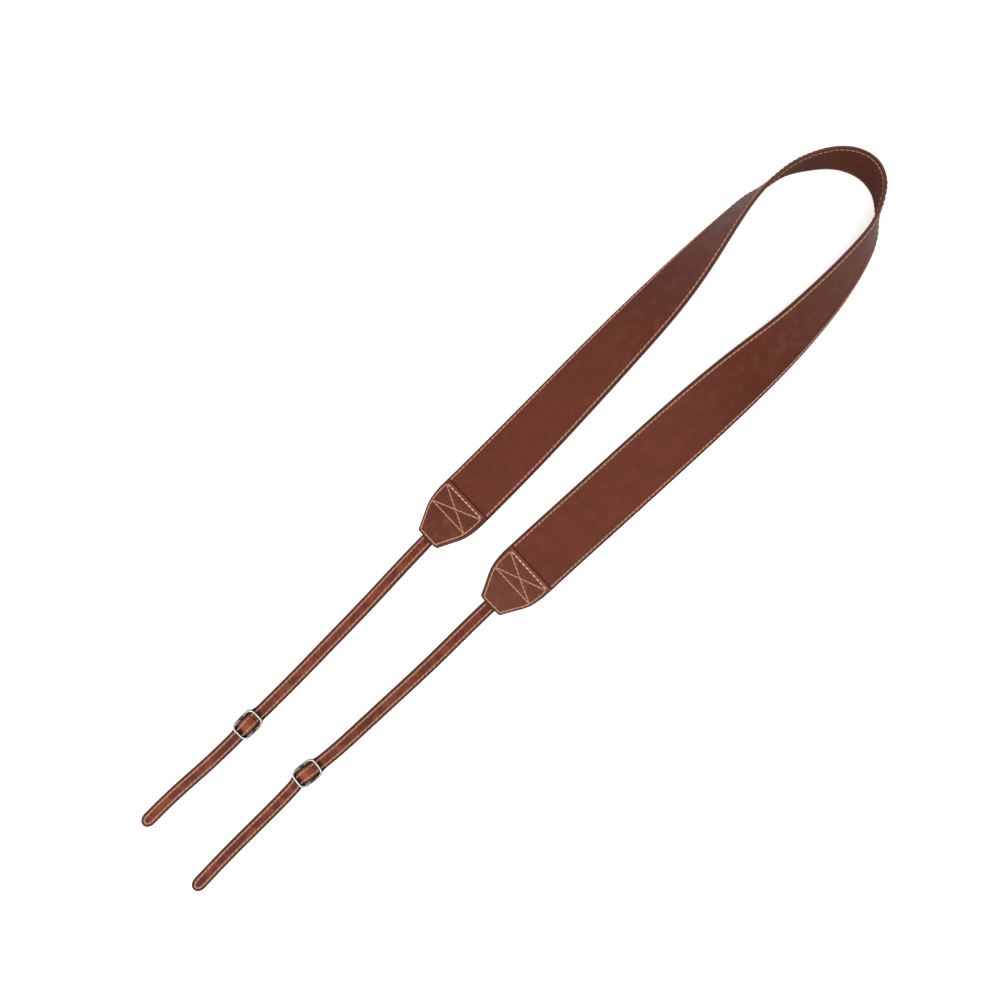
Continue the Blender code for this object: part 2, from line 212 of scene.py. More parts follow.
# Centre line of each narrow strap, from the tab's narrow end to the tip
LEFT_STATIONS = [
    # x, y
    (-0.0157, -0.0482),
    (-0.0151, -0.0740),
    (-0.0141, -0.0987),
    (-0.0133, -0.1357),
    (-0.0128, -0.1700),
    (-0.0129, -0.2073),
    (-0.0133, -0.2400),
    (-0.0150, -0.2720),
    (-0.0151, -0.2973),
]
RIGHT_STATIONS = [
    # x, y
    (0.0403, -0.0508),
    (0.0399, -0.0740),
    (0.0397, -0.0987),
    (0.0388, -0.1260),
    (0.0374, -0.1604),
    (0.0358, -0.1870),
    (0.0339, -0.2060),
    (0.0341, -0.2200),
    (0.0343, -0.2400),
    (0.0342, -0.2715),
    (0.0350, -0.3033),
]

# Outline of a tab, and of the band under it
TAB_OUTLINE = [
    # from narrow end, share of half width
    (0.0, 0.440),
    (0.0050, 0.576),
    (0.0090, 0.688),
    (0.0125, 0.790),
    (0.0150, 0.855),
    (0.0175, 0.905),
    (0.0200, 0.941),
    (0.0230, 0.970),
    (0.0260, 0.990),
    (0.0290, 1.000),
]

# Buckle along the route from the tab's top edge, its sideways shift, and its turn in degrees
BUCKLES = {
    # side: along, shift, turn
    "left": (0.1936, -0.0004, 0.5),
    "right": (0.1870, -0.00035, -3.5),
}
SIDES = ("left", "right")

# Stage
FLOOR_RADIUS = 3.0
RIM_RINGS = 8             # rings of the rim, which sweeps up into a wall
RING_WIDTH = 0.2
RIM_RISE = 1.7
GLOW_ON_STRAP = 0.42      # share of the floor's glow that lights the strap
HORIZON_SHARE = 0.25      # share of the room's light at the horizon
CAMERA_SHIFT = 0.0004


# Properties

class StrapLeather(PropertyGroup):
    """Colours and finish of the leather"""

    face_colour: FloatVectorProperty(
        name="Face", description="Colour of the front leather of the band",
        subtype="COLOR", size=3, min=0.0, max=1.0, default=(0.124, 0.0284, 0.0132),
    )
    tab_colour: FloatVectorProperty(
        name="Tabs", description="Colour of the tab leather",
        subtype="COLOR", size=3, min=0.0, max=1.0, default=(0.135, 0.0332, 0.0180),
    )
    thin_colour: FloatVectorProperty(
        name="Narrow Straps", description="Colour of the narrow strap leather",
        subtype="COLOR", size=3, min=0.0, max=1.0, default=(0.142, 0.0325, 0.0142),
    )
    lining_colour: FloatVectorProperty(
        name="Lining", description="Colour of the leather on the back of the band",
        subtype="COLOR", size=3, min=0.0, max=1.0, default=(0.080, 0.0215, 0.0100),
    )
    edge_colour: FloatVectorProperty(
        name="Edge Paint", description="Colour of the painted cut edges",
        subtype="COLOR", size=3, min=0.0, max=1.0, default=(0.115, 0.0430, 0.0265),
    )
    grain_size: FloatProperty(
        name="Grain Size", description="Width of one pebble of the grain",
        unit="LENGTH", min=0.0002, max=0.003, default=0.00075,
    )
    grain_depth: FloatProperty(
        name="Grain Depth", description="Depth of the creases between the pebbles",
        unit="LENGTH", min=0.0, max=0.0005, default=0.00008,
    )
    edge_round: FloatProperty(
        name="Edge Rounding", description="Radius of the burnished edges",
        unit="LENGTH", min=0.0001, max=0.0006, default=0.0005,
    )
    seam_depth: FloatProperty(
        name="Seam Depth", description="How far the thread pulls the leather down",
        unit="LENGTH", min=0.0, max=0.0006, default=0.00028,
    )


class StrapStitching(PropertyGroup):
    """Thread and spacing of the seams"""

    thread_colour: FloatVectorProperty(
        name="Thread", description="Colour of the thread",
        subtype="COLOR", size=3, min=0.0, max=1.0, default=(0.63, 0.318, 0.205),
    )
    thread_width: FloatProperty(
        name="Thread Width", description="Thickness of the waxed thread",
        unit="LENGTH", min=0.0003, max=0.0012, default=0.00080,
    )
    pitch: FloatProperty(
        name="Stitch Length", description="Distance from one needle hole to the next",
        unit="LENGTH", min=0.0015, max=0.006, default=0.0032,
    )
    band_inset: FloatProperty(
        name="Band Inset", description="Seam's distance in from the edge of the band",
        unit="LENGTH", min=0.001, max=0.004, default=0.0020,
    )
    thin_inset: FloatProperty(
        name="Narrow Strap Inset", description="Seam's distance in from the edge of the narrow straps",
        unit="LENGTH", min=0.001, max=0.003, default=0.0021,
    )
    tab_inset: FloatProperty(
        name="Tab Inset", description="Seam's distance in from the edge of the tabs",
        unit="LENGTH", min=0.001, max=0.004, default=0.0016,
    )


class StrapHardware(PropertyGroup):
    """Finish of the buckles"""

    metal_colour: FloatVectorProperty(
        name="Metal", description="Colour of the polished nickel",
        subtype="COLOR", size=3, min=0.0, max=1.0, default=(0.345, 0.325, 0.31),
    )
    # The tarnish colour is also the painted shade that keeps the rails darker than the end bars
    tarnish_and_shade_colour: FloatVectorProperty(
        name="Tarnish and Shade", description="Colour of the darkened nickel in the corners",
        subtype="COLOR", size=3, min=0.0, max=1.0, default=(0.090, 0.085, 0.080),
    )


class StrapStage(PropertyGroup):
    """Floor, lights and camera"""

    floor_colour: FloatVectorProperty(
        name="Floor", description="Colour of the studio floor",
        subtype="COLOR", size=3, min=0.0, max=1.0, default=(0.92, 0.92, 0.915),
    )
    key_power: FloatProperty(
        name="Key Light", description="Power of the main soft light in watts",
        min=0.0, max=200.0, default=11.0,
    )
    fill_power: FloatProperty(
        name="Fill Light", description="Power of the weaker light overhead in watts",
        min=0.0, max=200.0, default=4.0,
    )
    room_light: FloatProperty(
        name="Room Light", description="Strength of the even light from the room",
        min=0.0, max=5.0, default=0.95,
    )
    table_glow: FloatProperty(
        name="Table Glow", description="Strength of the light that comes up through the table",
        min=0.0, max=2.0, default=0.50,
    )
    camera_height: FloatProperty(
        name="Camera Height", description="Height of the camera above the table",
        unit="LENGTH", min=0.3, max=3.0, default=0.8,
    )
    view_width: FloatProperty(
        name="View Width", description="Width of the table that the camera sees",
        unit="LENGTH", min=0.1, max=2.0, default=0.6182,
    )


# The route

def smooth(t):
    """Ease from 0 to 1 with level ends."""
    t = np.clip(t, 0.0, 1.0)
    return t * t * (3.0 - 2.0 * t)


def unit(vectors):
    """The vectors at length 1."""
    return vectors / np.linalg.norm(vectors, axis=-1, keepdims=True)


def spline(knots, values):
    """Natural cubic through the values at the knots, straight beyond its ends."""
    knots = np.array(knots)
    values = np.array(values)
    count = len(knots)
    gaps = np.diff(knots)
    slopes = np.diff(values) / gaps
    system = np.eye(count)
    wanted = np.zeros(count)
    for i in range(1, count - 1):
        system[i, i - 1:i + 2] = (gaps[i - 1], 2.0 * (gaps[i - 1] + gaps[i]), gaps[i])
        wanted[i] = 6.0 * (slopes[i] - slopes[i - 1])
    bends = np.linalg.solve(system, wanted)

    def value(u):
        """The curve at u, which runs on straight past its first and last points."""
        u = np.asarray(u, dtype=float)
        i = np.clip(np.searchsorted(knots, u) - 1, 0, count - 2)
        gap = gaps[i]
        a = knots[i + 1] - u
        b = u - knots[i]
        inside = (bends[i] * a ** 3 + bends[i + 1] * b ** 3) / (6.0 * gap)
        inside += (values[i] / gap - bends[i] * gap / 6.0) * a
        inside += (values[i + 1] / gap - bends[i + 1] * gap / 6.0) * b
        before = values[0] + b * (slopes[0] - gaps[0] * bends[1] / 6.0)
        after = values[-1] - a * (slopes[-1] + gaps[-1] * bends[-2] / 6.0)
        return np.where(b < 0.0, before, np.where(a < 0.0, after, inside))

    return value


class Route:
    """The strap's middle surface. Lengths run from the left tab's top edge, negative down the left tail."""

    def __init__(self):
        plan = [row[:2] for row in LEFT_STATIONS[::-1] + BAND_STATIONS + RIGHT_STATIONS]
        plan = np.array(plan) - (CENTRE_X, CENTRE_Y)
        first = len(LEFT_STATIONS)
        last = first + len(BAND_STATIONS)
        steps = np.linalg.norm(np.diff(plan, axis=0), axis=1)
        knots = np.concatenate([[0.0], np.cumsum(steps)])
        knots -= knots[first]
        self.first = knots[0]
        self.last = knots[-1]
        self.band_end = knots[last - 1]
        self.x = spline(knots, plan[:, 0])
        self.y = spline(knots, plan[:, 1])
        self.band_lean = spline(knots[first:last], [math.radians(row[2]) for row in BAND_STATIONS])
        self.tip = {"left": -self.first, "right": self.last - self.band_end}

    def past_tab(self, u):
        """Length past the nearer tab's top edge, 0 on the band."""
        return np.maximum(0.0, np.maximum(-u, u - self.band_end))

    def from_tab(self, side, d):
        """The route length that is d past a side's tab top edge."""
        return -d if side == "left" else self.band_end + d

    def lean(self, u):
        """How far the band leans over, and less and less of it down the narrow straps."""
        flattening = 1.0 - smooth(self.past_tab(u) / FADE_LENGTH)
        return self.band_lean(np.clip(u, 0.0, self.band_end)) * flattening

    def height(self, u):
        """Height of the middle surface with the lowest layer just touching the table."""
        on_band = np.clip(u, 0.0, self.band_end)
        near_tab = 1.0 - smooth(np.minimum(on_band, self.band_end - on_band) / LIFT_LENGTH)
        depth = LAYER_GAP / 2 + LEAF + near_tab * (LAYER_GAP + TAB_LEAF)
        half = BAND_WIDTH / 2 - near_tab * BACK_TAB_INSET
        lean = self.band_lean(on_band)
        resting = half * np.sin(lean) + depth * np.abs(np.cos(lean))
        flat = LAYER_GAP / 2 + THIN_LEAF
        z = resting + (flat - resting) * smooth(self.past_tab(u) / FADE_LENGTH)
        for side in SIDES:
            away = np.abs(u - self.from_tab(side, BUCKLES[side][0])) / WEAVE_HALF_LENGTH
            z = z + WEAVE_RISE * np.cos(math.pi / 2 * np.minimum(away, 1.0)) ** 2
        return z

    def middle(self, u):
        """The points of the middle line."""
        return np.stack([self.x(u), self.y(u), self.height(u)], axis=-1)

    def frame(self, u):
        """Middle points, directions across towards the inner edge, and directions out of the face."""
        u = np.asarray(u, dtype=float)
        step = 0.00005
        along = unit(self.middle(u + step) - self.middle(u - step))
        inwards = unit(np.cross(along, (0.0, 0.0, 1.0)))
        rising = np.cross(inwards, along)
        lean = self.lean(u)[..., None]
        across = inwards * np.cos(lean) + rising * np.sin(lean)
        face = rising * np.cos(lean) - inwards * np.sin(lean)
        return self.middle(u), across, face

    def points(self, u, v, q):
        """The points v across and q out of the middle surface at the lengths u."""
        place, across, face = self.frame(u)
        v = np.asarray(v)[..., None]
        q = np.asarray(q)[..., None]
        return place + across * v + face * q


ROUTE = Route()
OUTLINE = spline([row[0] for row in TAB_OUTLINE], [row[1] for row in TAB_OUTLINE])


def tab_half_width(d):
    """Half width of the tab, and of the band under it, d past the tab's top edge."""
    left = np.maximum(0.0, TAB_LENGTH - d)
    half = np.where(left > TAB_OUTLINE[-1][0], 1.0, np.minimum(1.0, OUTLINE(left))) * BAND_WIDTH / 2
    corner = np.minimum(left, TAB_CORNER)
    return half - TAB_CORNER + np.sqrt(TAB_CORNER ** 2 - (TAB_CORNER - corner) ** 2)


def face_fall(v):
    """How far the band's faces have fallen at the distance v from its middle."""
    return BAND_FALL * (v / (BAND_WIDTH / 2)) ** 2


def thin_half_width(side, d):
    """Half width of the narrow strap: a little slimmer past the buckle, rounded at the tip."""
    past_buckle = smooth((d - BUCKLES[side][0]) / (2 * WEAVE_HALF_LENGTH) + 0.5)
    half = (THIN_WIDTH + (TAIL_WIDTH - THIN_WIDTH) * past_buckle) / 2
    left = np.clip((ROUTE.tip[side] - d) / TIP_LENGTH, 0.0, 1.0)
    return half * np.sqrt(1.0 - (1.0 - left) ** 2)


def near_bar(side, d, reach):
    """1 within this reach of the buckle's centre bar, falling to 0 beyond it."""
    return np.exp(-((d - BUCKLES[side][0]) / reach) ** 6)


def through_buckle(side, d):
    """How far the narrow strap moves across to run straight through the middle of its buckle."""
    along, shift, turn = BUCKLES[side]
    across = shift + math.tan(math.radians(turn)) * (d - along)
    return across * near_bar(side, d, LINE_UP_REACH) * (1.0 if side == "left" else -1.0)


# Seams

def even_holes(line, pitch):
    """Needle holes along a line of (length, across) points, evenly spaced, with one at each end."""
    line = np.array(line, dtype=float)
    run = np.concatenate([[0.0], np.cumsum(np.linalg.norm(np.diff(line, axis=0), axis=1))])
    count = max(1, round(run[-1] / pitch))
    at = np.linspace(0.0, run[-1], count + 1)
    return np.column_stack([np.interp(at, run, line[:, 0]), np.interp(at, run, line[:, 1])])


def band_seams(stitching):
    """One seam along each edge of the band, from tab to tab."""
    end = ROUTE.band_end - BAND_START
    half = BAND_WIDTH / 2 - stitching.band_inset
    return [even_holes([(BAND_START, sign * half), (end, sign * half)], stitching.pitch) for sign in (-1, 1)]


def tab_edge_line(stitching):
    """The seam line inside a tab's edge on one side, from the box's top corner to the narrow end."""
    d = np.linspace(BOX_TOP, TAB_LENGTH - END_ROW, 60)
    inset = stitching.tab_inset + EDGE_DRAW_IN * (1.0 - smooth((d - BOX_TOP) / EDGE_EASE))
    half = tab_half_width(d) - TAB_INSET
    slope = np.gradient(half, d)
    return np.column_stack([d, half - inset * np.sqrt(1.0 + slope ** 2)])


def tab_seams(side, stitching):
    """Seam round a tab's edge, a row along its top and a crossed box under that row."""
    edge = tab_edge_line(stitching)
    low = np.interp(BOX_LOW, edge[:, 0], edge[:, 1])
    top = edge[0, 1]
    end = edge[-1, 1]
    pitch = stitching.pitch
    seams = []
    for sign in (-1, 1):
        seams.append(even_holes(edge * (1, sign), pitch))
        seams.append(even_holes([(BOX_TOP, sign * top), (BOX_LOW, -sign * low)], pitch))
    seams.append(even_holes([(TAB_LENGTH - END_ROW, -end), (TAB_LENGTH - END_ROW, end)], pitch))
    seams.append(even_holes([(BOX_LOW, -low), (BOX_LOW, low)], pitch))
    row_end = top - TOP_ROW_SHORT
    seams.append(even_holes([(TOP_ROW, -row_end), (TOP_ROW, row_end)], pitch))
    for holes in seams:
        holes[:, 0] = ROUTE.from_tab(side, holes[:, 0])
    return seams


def thin_seams(side, stitching):
    """One seam down each edge of a narrow strap, joined round the tip."""
    inset = stitching.thin_inset
    tip = ROUTE.tip[side]
    reach = tip - TIP_LENGTH
    angles = np.radians(np.linspace(0.0, 180.0, 25))
    half = TAIL_WIDTH / 2 - inset
    turn = np.column_stack([reach + (TIP_LENGTH - inset) * np.sin(angles), half * np.cos(angles)])
    straight = np.linspace(TAB_LENGTH + THIN_START, reach, 200)
    edge = np.column_stack([straight, thin_half_width(side, straight) - inset])
    seams = [even_holes(edge, stitching.pitch), even_holes(edge * (1, -1), stitching.pitch)]
    seams.append(even_holes(turn, stitching.pitch * TIP_PITCH))
    for holes in seams:
        holes[:, 1] += through_buckle(side, holes[:, 0])
        holes[:, 0] = ROUTE.from_tab(side, holes[:, 0])
    return seams


def press_seams(lengths, across, seams):
    """How far the thread pulls each point of a leaf down, and how near the point is to a needle hole."""
    pull = np.zeros_like(across)
    needle = np.zeros_like(across)
    reach = 0.002
    for holes in seams:
        for a, b in zip(holes, holes[1:]):
            first = np.searchsorted(lengths, min(a[0], b[0]) - reach)
            last = np.searchsorted(lengths, max(a[0], b[0]) + reach)
            u = lengths[first:last, None] - a[0]
            v = across[first:last] - a[1]
            leg = b - a
            t = np.clip((u * leg[0] + v * leg[1]) / (leg @ leg), 0.0, 1.0)
            away = np.hypot(u - t * leg[0], v - t * leg[1])
            pull[first:last] = np.maximum(pull[first:last], np.exp(-(away / PULL_WIDTH) ** 2))
            for from_hole in (np.hypot(u, v), np.hypot(u - leg[0], v - leg[1])):
                near = np.clip(1.0 - from_hole / HOLE_REACH, 0.0, 1.0)
                needle[first:last] = np.maximum(needle[first:last], near)
    return pull, needle


def between_holes(holes):
    """Lengths from the first needle hole to the last, four to a stitch."""
    return np.interp(np.arange(0, len(holes) - 0.9, 0.25), np.arange(len(holes)), holes)


def over_seam(seam):
    """Distances in from a leaf's rounded edge for the columns over a seam's groove."""
    return [seam + step for step in (-0.0006, -0.0003, 0.0, 0.0003, 0.0006, 0.0010)]


# Modelling

def select_only(piece):
    """Selects this piece alone and makes it the active one."""
    bpy.ops.object.select_all(action="DESELECT")
    piece.select_set(True)
    bpy.context.view_layer.objects.active = piece


def settle(piece):
    """Puts the piece's place into its mesh, so that its object sits at the origin, unturned and unscaled."""
    select_only(piece)
    bpy.ops.object.transform_apply(location=True, rotation=True, scale=True)


def face_outwards():
    """Turns every face of the active piece outwards."""
    bpy.ops.object.mode_set(mode="EDIT")
    bpy.ops.mesh.select_all(action="SELECT")
    bpy.ops.mesh.normals_make_consistent(inside=False)
    bpy.ops.object.mode_set(mode="OBJECT")


def dress(piece, material, node=None):
    """Gives a finished piece its material, makes it ride with the strap and stand for its solid."""
    piece.data.materials.clear()
    piece.data.materials.append(material)
    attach(piece, "root")
    if node:
        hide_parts(node)


def cuts_from_edge(half, places):
    """Shares of the half width for columns at these distances in from the edge, and one in the middle."""
    shares = np.array([1.0 - place / half for place in places])
    return np.concatenate([-shares, [0.0], shares[::-1]])


def round_ends(lengths_in, radius):
    """Drop of a leaf's face at these distances in from its end, for a rounded end."""
    inside = np.clip(lengths_in, 0.0, radius)
    return radius - np.sqrt(radius ** 2 - (radius - inside) ** 2)


class Section:
    """Cross sections of one closed leaf, a ring of points for each length along the route."""

    def __init__(self, lengths, halves, low, high, top_cuts, under_cuts, top_round, under_round, crown=0.0,
                 strip=EDGE_STRIP):
        rows = len(lengths)
        halves = halves[:, None]
        low = np.broadcast_to(low, rows)[:, None]
        high = np.broadcast_to(high, rows)[:, None]
        top_round = np.minimum(top_round, halves * 0.6)
        under_round = np.minimum(under_round, halves * 0.6)
        turn = np.radians((22.5, 45.0, 67.5, 90.0))
        under_turn = np.radians((0.0, 45.0, 90.0))
        top_v = top_cuts * (halves - top_round)
        top_q = high - crown * top_cuts ** 2
        round_v = halves - top_round * (1.0 - np.sin(turn))
        round_q = high - crown - top_round * (1.0 - np.cos(turn))
        foot_v = halves - under_round * (1.0 - np.cos(under_turn))
        foot_q = low + under_round * (1.0 - np.sin(under_turn))
        under_v = -under_cuts * (halves - under_round)
        under_q = np.broadcast_to(low, under_v.shape)
        self.lengths = lengths
        self.v = np.hstack([top_v, round_v, foot_v, under_v, -foot_v[:, ::-1], -round_v[:, ::-1]])
        self.q = np.hstack([top_q, round_q, foot_q, under_q, foot_q[:, ::-1], round_q[:, ::-1]])
        columns = self.v.shape[1]
        top = top_v.shape[1]
        foot_start = top + len(turn)
        under_start = foot_start + len(under_turn)
        under_end = under_start + under_v.shape[1]
        self.top = slice(0, top)
        self.under = slice(under_start, under_end)
        self.underside = slice(foot_start, under_end + len(under_turn))
        paint = np.ones((rows, columns))
        paint[:, 1:top - 1] = 0.0
        paint[:, self.under] = 0.0
        paint[0] = paint[-1] = 1.0
        from_end = np.minimum(lengths - lengths[0], lengths[-1] - lengths)[:, None]
        inside = np.minimum(halves - np.abs(top_v), from_end) - top_round
        # The dark border along each edge: partly burnished, partly painted shade
        border_and_shade = np.zeros((rows, columns))
        border_and_shade[:, self.top] = 1.0 - np.clip(inside / strip, 0.0, 1.0)
        border_and_shade[:, top:top + 3] = (1.0, 1.0, 0.4)
        border_and_shade[:, -3:] = (0.4, 1.0, 1.0)
        self.marks = {"edge_paint": paint, "border_and_shade": border_and_shade}
        for key in ("seam_pull", "needle_hole", "rubbed_and_highlight", "painted_shade", "darker_tone_and_shade"):
            self.marks[key] = np.zeros((rows, columns))

    def fall(self, underside_too):
        """Lets the leaf fall towards the edges of the band."""
        fall = face_fall(self.v)
        if not underside_too:
            fall[:, self.underside] = 0.0
        self.q -= fall

    def mark(self, key, along):
        """Marks the whole girth of the leaf by a value for each length."""
        self.marks[key] = along[:, None] + np.zeros_like(self.v)

    def sew(self, columns, seams, depth, outwards):
        """Pulls the leather down along the seams on the top or the under side."""
        pull, needle = press_seams(self.lengths, self.v[:, columns], seams)
        self.q[:, columns] -= outwards * depth * (PULL_SHARE * pull + HOLE_SHARE * needle)
        self.marks["seam_pull"][:, columns] = pull
        self.marks["needle_hole"][:, columns] = needle


def lay_leaf(name, section):
    """A grid rolled into a closed leather leaf and laid along the route."""
    place, across, face = ROUTE.frame(section.lengths)
    points = place[:, None] + across[:, None] * section.v[..., None] + face[:, None] * section.q[..., None]
    rows, columns = section.v.shape
    bpy.ops.object.select_all(action="DESELECT")
    bpy.ops.mesh.primitive_grid_add(x_subdivisions=columns, y_subdivisions=rows - 1, size=1.0)
    piece = bpy.context.object
    piece.name = name
    piece.data.name = name

    def closed(values):
        """The columns, with the first one again at the end."""
        return np.concatenate([values, values[:, :1]], axis=1)

    rolled = closed(points)
    piece.data.vertices.foreach_set("co", rolled.ravel())
    girth = np.linalg.norm(np.diff(rolled, axis=1), axis=2).cumsum(axis=1)
    girth = np.concatenate([np.zeros((rows, 1)), girth], axis=1)
    along = np.broadcast_to(section.lengths[:, None], girth.shape)
    flat = np.stack([along, girth], axis=-1).reshape(-1, 2)
    corners = np.empty(len(piece.data.loops), dtype=np.int32)
    piece.data.loops.foreach_get("vertex_index", corners)
    layer = piece.data.uv_layers[0]
    layer.name = "Strap"
    layer.uv.foreach_set("vector", flat[corners].ravel())
    for key, values in section.marks.items():
        mark = piece.data.attributes.new(key, "FLOAT", "POINT")
        mark.data.foreach_set("value", closed(values).ravel())
    piece.data.update()

    bpy.ops.object.mode_set(mode="EDIT")
    bpy.ops.mesh.select_all(action="SELECT")
    bpy.ops.mesh.remove_doubles(threshold=1e-6)
    bpy.ops.mesh.fill_holes(sides=0)
    face_outwards()
    bpy.ops.object.shade_smooth_by_angle(angle=math.radians(50.0))
    return piece


def end_steps(radius):
    """Distances in from a rounded end where a leaf has its sections."""
    return radius * (1.0 - np.cos(np.radians((0.0, 22.5, 45.0, 67.5, 90.0))))


def cut_lengthwise(piece, reach, cuts):
    """Cuts a cylinder that lies along X into short lengths, at its edges that are longer than reach."""
    mesh = piece.data
    bpy.ops.object.mode_set(mode="EDIT")
    bpy.ops.mesh.select_mode(type="EDGE")
    bpy.ops.mesh.select_all(action="DESELECT")
    bpy.ops.object.mode_set(mode="OBJECT")
    for edge in mesh.edges:
        a, b = (mesh.vertices[i].co for i in edge.vertices)
        edge.select = abs(a.x - b.x) > reach
    bpy.ops.object.mode_set(mode="EDIT")
    bpy.ops.mesh.subdivide(number_cuts=cuts)
    bpy.ops.mesh.select_mode(type="VERT")
    bpy.ops.object.mode_set(mode="OBJECT")


def model_stitch(width):
    """One stitch of waxed thread along X, its length 1 so that every copy can be given its own."""
    bpy.ops.object.select_all(action="DESELECT")
    bpy.ops.mesh.primitive_cylinder_add(
        vertices=7, radius=width / 2, depth=1.0, end_fill_type="NGON", rotation=(0.0, math.radians(90.0), 0.0)
    )
    stitch = bpy.context.object
    settle(stitch)
    cut_lengthwise(stitch, 0.5, 5)
    # Its ends are thinner and dive into the needle holes, and its middle stands proud
    for vertex in stitch.data.vertices:
        share = abs(vertex.co.x) * 2.0
        thin = 1.0 - 0.30 * share ** 4
        vertex.co.x = math.copysign(share ** 0.62 / 2.0, vertex.co.x)
        share = abs(vertex.co.x) * 2.0
        vertex.co.y *= thin
        vertex.co.z = vertex.co.z * thin + width * (0.26 - 0.55 * share ** 8)
    return stitch


def sew_seams(name, seams, looks, depth_of, outwards, stitching, lift):
    """One piece with a copy of the modelled stitch from each needle hole to the next.

    Each seam has its look: thread thickness and length between two holes as shares, and its wear, partly
    painted shade.
    """
    pattern = model_stitch(stitching.thread_width)
    mesh = pattern.data
    local = np.array([vertex.co for vertex in mesh.vertices])
    faces = [tuple(face.vertices) for face in mesh.polygons]
    uv = np.array([corner.vector for corner in mesh.uv_layers[0].uv])
    bpy.data.objects.remove(pattern)

    starts = np.concatenate([holes[:-1] for holes in seams])
    ends = np.concatenate([holes[1:] for holes in seams])
    middle = (starts + ends) / 2
    looks = np.repeat(looks, [len(holes) - 1 for holes in seams], axis=0)
    thick, share, wear_and_shade = looks.T
    a = ROUTE.points(starts[:, 0], starts[:, 1], depth_of(starts))
    b = ROUTE.points(ends[:, 0], ends[:, 1], depth_of(ends))
    centre = (a + b) / 2
    along = b - a
    reach = np.linalg.norm(along, axis=1)
    along = unit(along)
    normal = ROUTE.frame(middle[:, 0])[2] * outwards
    normal = unit(normal - along * (normal * along).sum(axis=1, keepdims=True))
    side = np.cross(normal, along)
    chance = np.random.default_rng(len(starts))
    lean = np.radians(4.0 + chance.normal(0.0, 1.5, len(starts)))[:, None]
    heading = along * np.cos(lean) + side * np.sin(lean)
    side = np.cross(normal, heading)
    size = chance.normal(1.0, 0.03, (len(starts), 1))
    thick = size * thick[:, None]

    x = local[None, :, 0] * (reach * share)[:, None] * size
    y = local[None, :, 1] * thick
    z = local[None, :, 2] * thick + lift
    points = centre[:, None] + x[..., None] * heading[:, None] + y[..., None] * side[:, None]
    points = points + z[..., None] * normal[:, None]
    count = len(local)
    copies = [tuple(i + n * count for i in face) for n in range(len(starts)) for face in faces]
    sewn = bpy.data.meshes.new(name)
    sewn.from_pydata(points.reshape(-1, 3), [], copies)
    layer = sewn.uv_layers.new(name="Thread")
    layer.uv.foreach_set("vector", np.tile(uv, (len(starts), 1)).ravel())
    mark = sewn.attributes.new("thread_wear_and_shade", "FLOAT", "POINT")
    mark.data.foreach_set("value", np.repeat(wear_and_shade, count))
    piece = bpy.data.objects.new(name, sewn)
    bpy.context.scene.collection.objects.link(piece)
    select_only(piece)
    face_outwards()
    bpy.ops.object.shade_smooth()
    return piece


# Materials

def add_node(tree, kind, inputs=(), **settings):
    """A shader node with its settings, and its inputs set to values or linked from sockets."""
    node = tree.nodes.new("ShaderNode" + kind)
    for key, value in settings.items():
        setattr(node, key, value)
    for key, value in dict(inputs).items():
        if isinstance(value, bpy.types.NodeSocket):
            tree.links.new(value, node.inputs[key])
        else:
            node.inputs[key].default_value = value
    node.location = (220 * (len(tree.nodes) % 8) - 900, 500 - 260 * (len(tree.nodes) // 8))
    return node


def value_of(tree, operation, *terms):
    """A Math node's result."""
    return add_node(tree, "Math", enumerate(terms), operation=operation).outputs[0]


def ramp(tree, value, low, high, to_low=0.0, to_high=1.0):
    """value from low..high taken smoothly to to_low..to_high."""
    inputs = {0: value, 1: low, 2: high, 3: to_low, 4: to_high}
    return add_node(tree, "MapRange", inputs, interpolation_type="SMOOTHSTEP").outputs[0]


def noise(tree, place, scale, detail):
    """A Noise node's value at a place."""
    return add_node(tree, "TexNoise", {"Vector": place, "Scale": scale, "Detail": detail}).outputs[0]


def blend_colour(tree, factor, a, b, mode="MIX"):
    """Colour b over colour a, by the factor."""
    inputs = {0: factor, 6: a, 7: b}
    return add_node(tree, "Mix", inputs, data_type="RGBA", blend_type=mode).outputs[2]


def new_group(name, inputs, outputs):
    """An empty node group with named sockets, and its input and output nodes."""
    group = bpy.data.node_groups.new(name, "ShaderNodeTree")
    for in_out, sockets in (("INPUT", inputs), ("OUTPUT", outputs)):
        for socket, kind in sockets:
            group.interface.new_socket(socket, in_out=in_out, socket_type="NodeSocket" + kind)
    start = group.nodes.new("NodeGroupInput")
    end = group.nodes.new("NodeGroupOutput")
    start.location = (-1200, 300)
    end.location = (1100, 300)
    return group, start.outputs, end.inputs


def new_material(name, colour):
    """A material with this colour in the viewport, its node tree and its shader."""
    material = bpy.data.materials.new(name)
    material.use_nodes = True
    material.diffuse_color = tuple(colour) + (1.0,)
    tree = material.node_tree
    shader = tree.nodes["Principled BSDF"]
    shader.location = (900, 300)
    tree.nodes["Material Output"].location = (1200, 300)
    return material, tree, shader


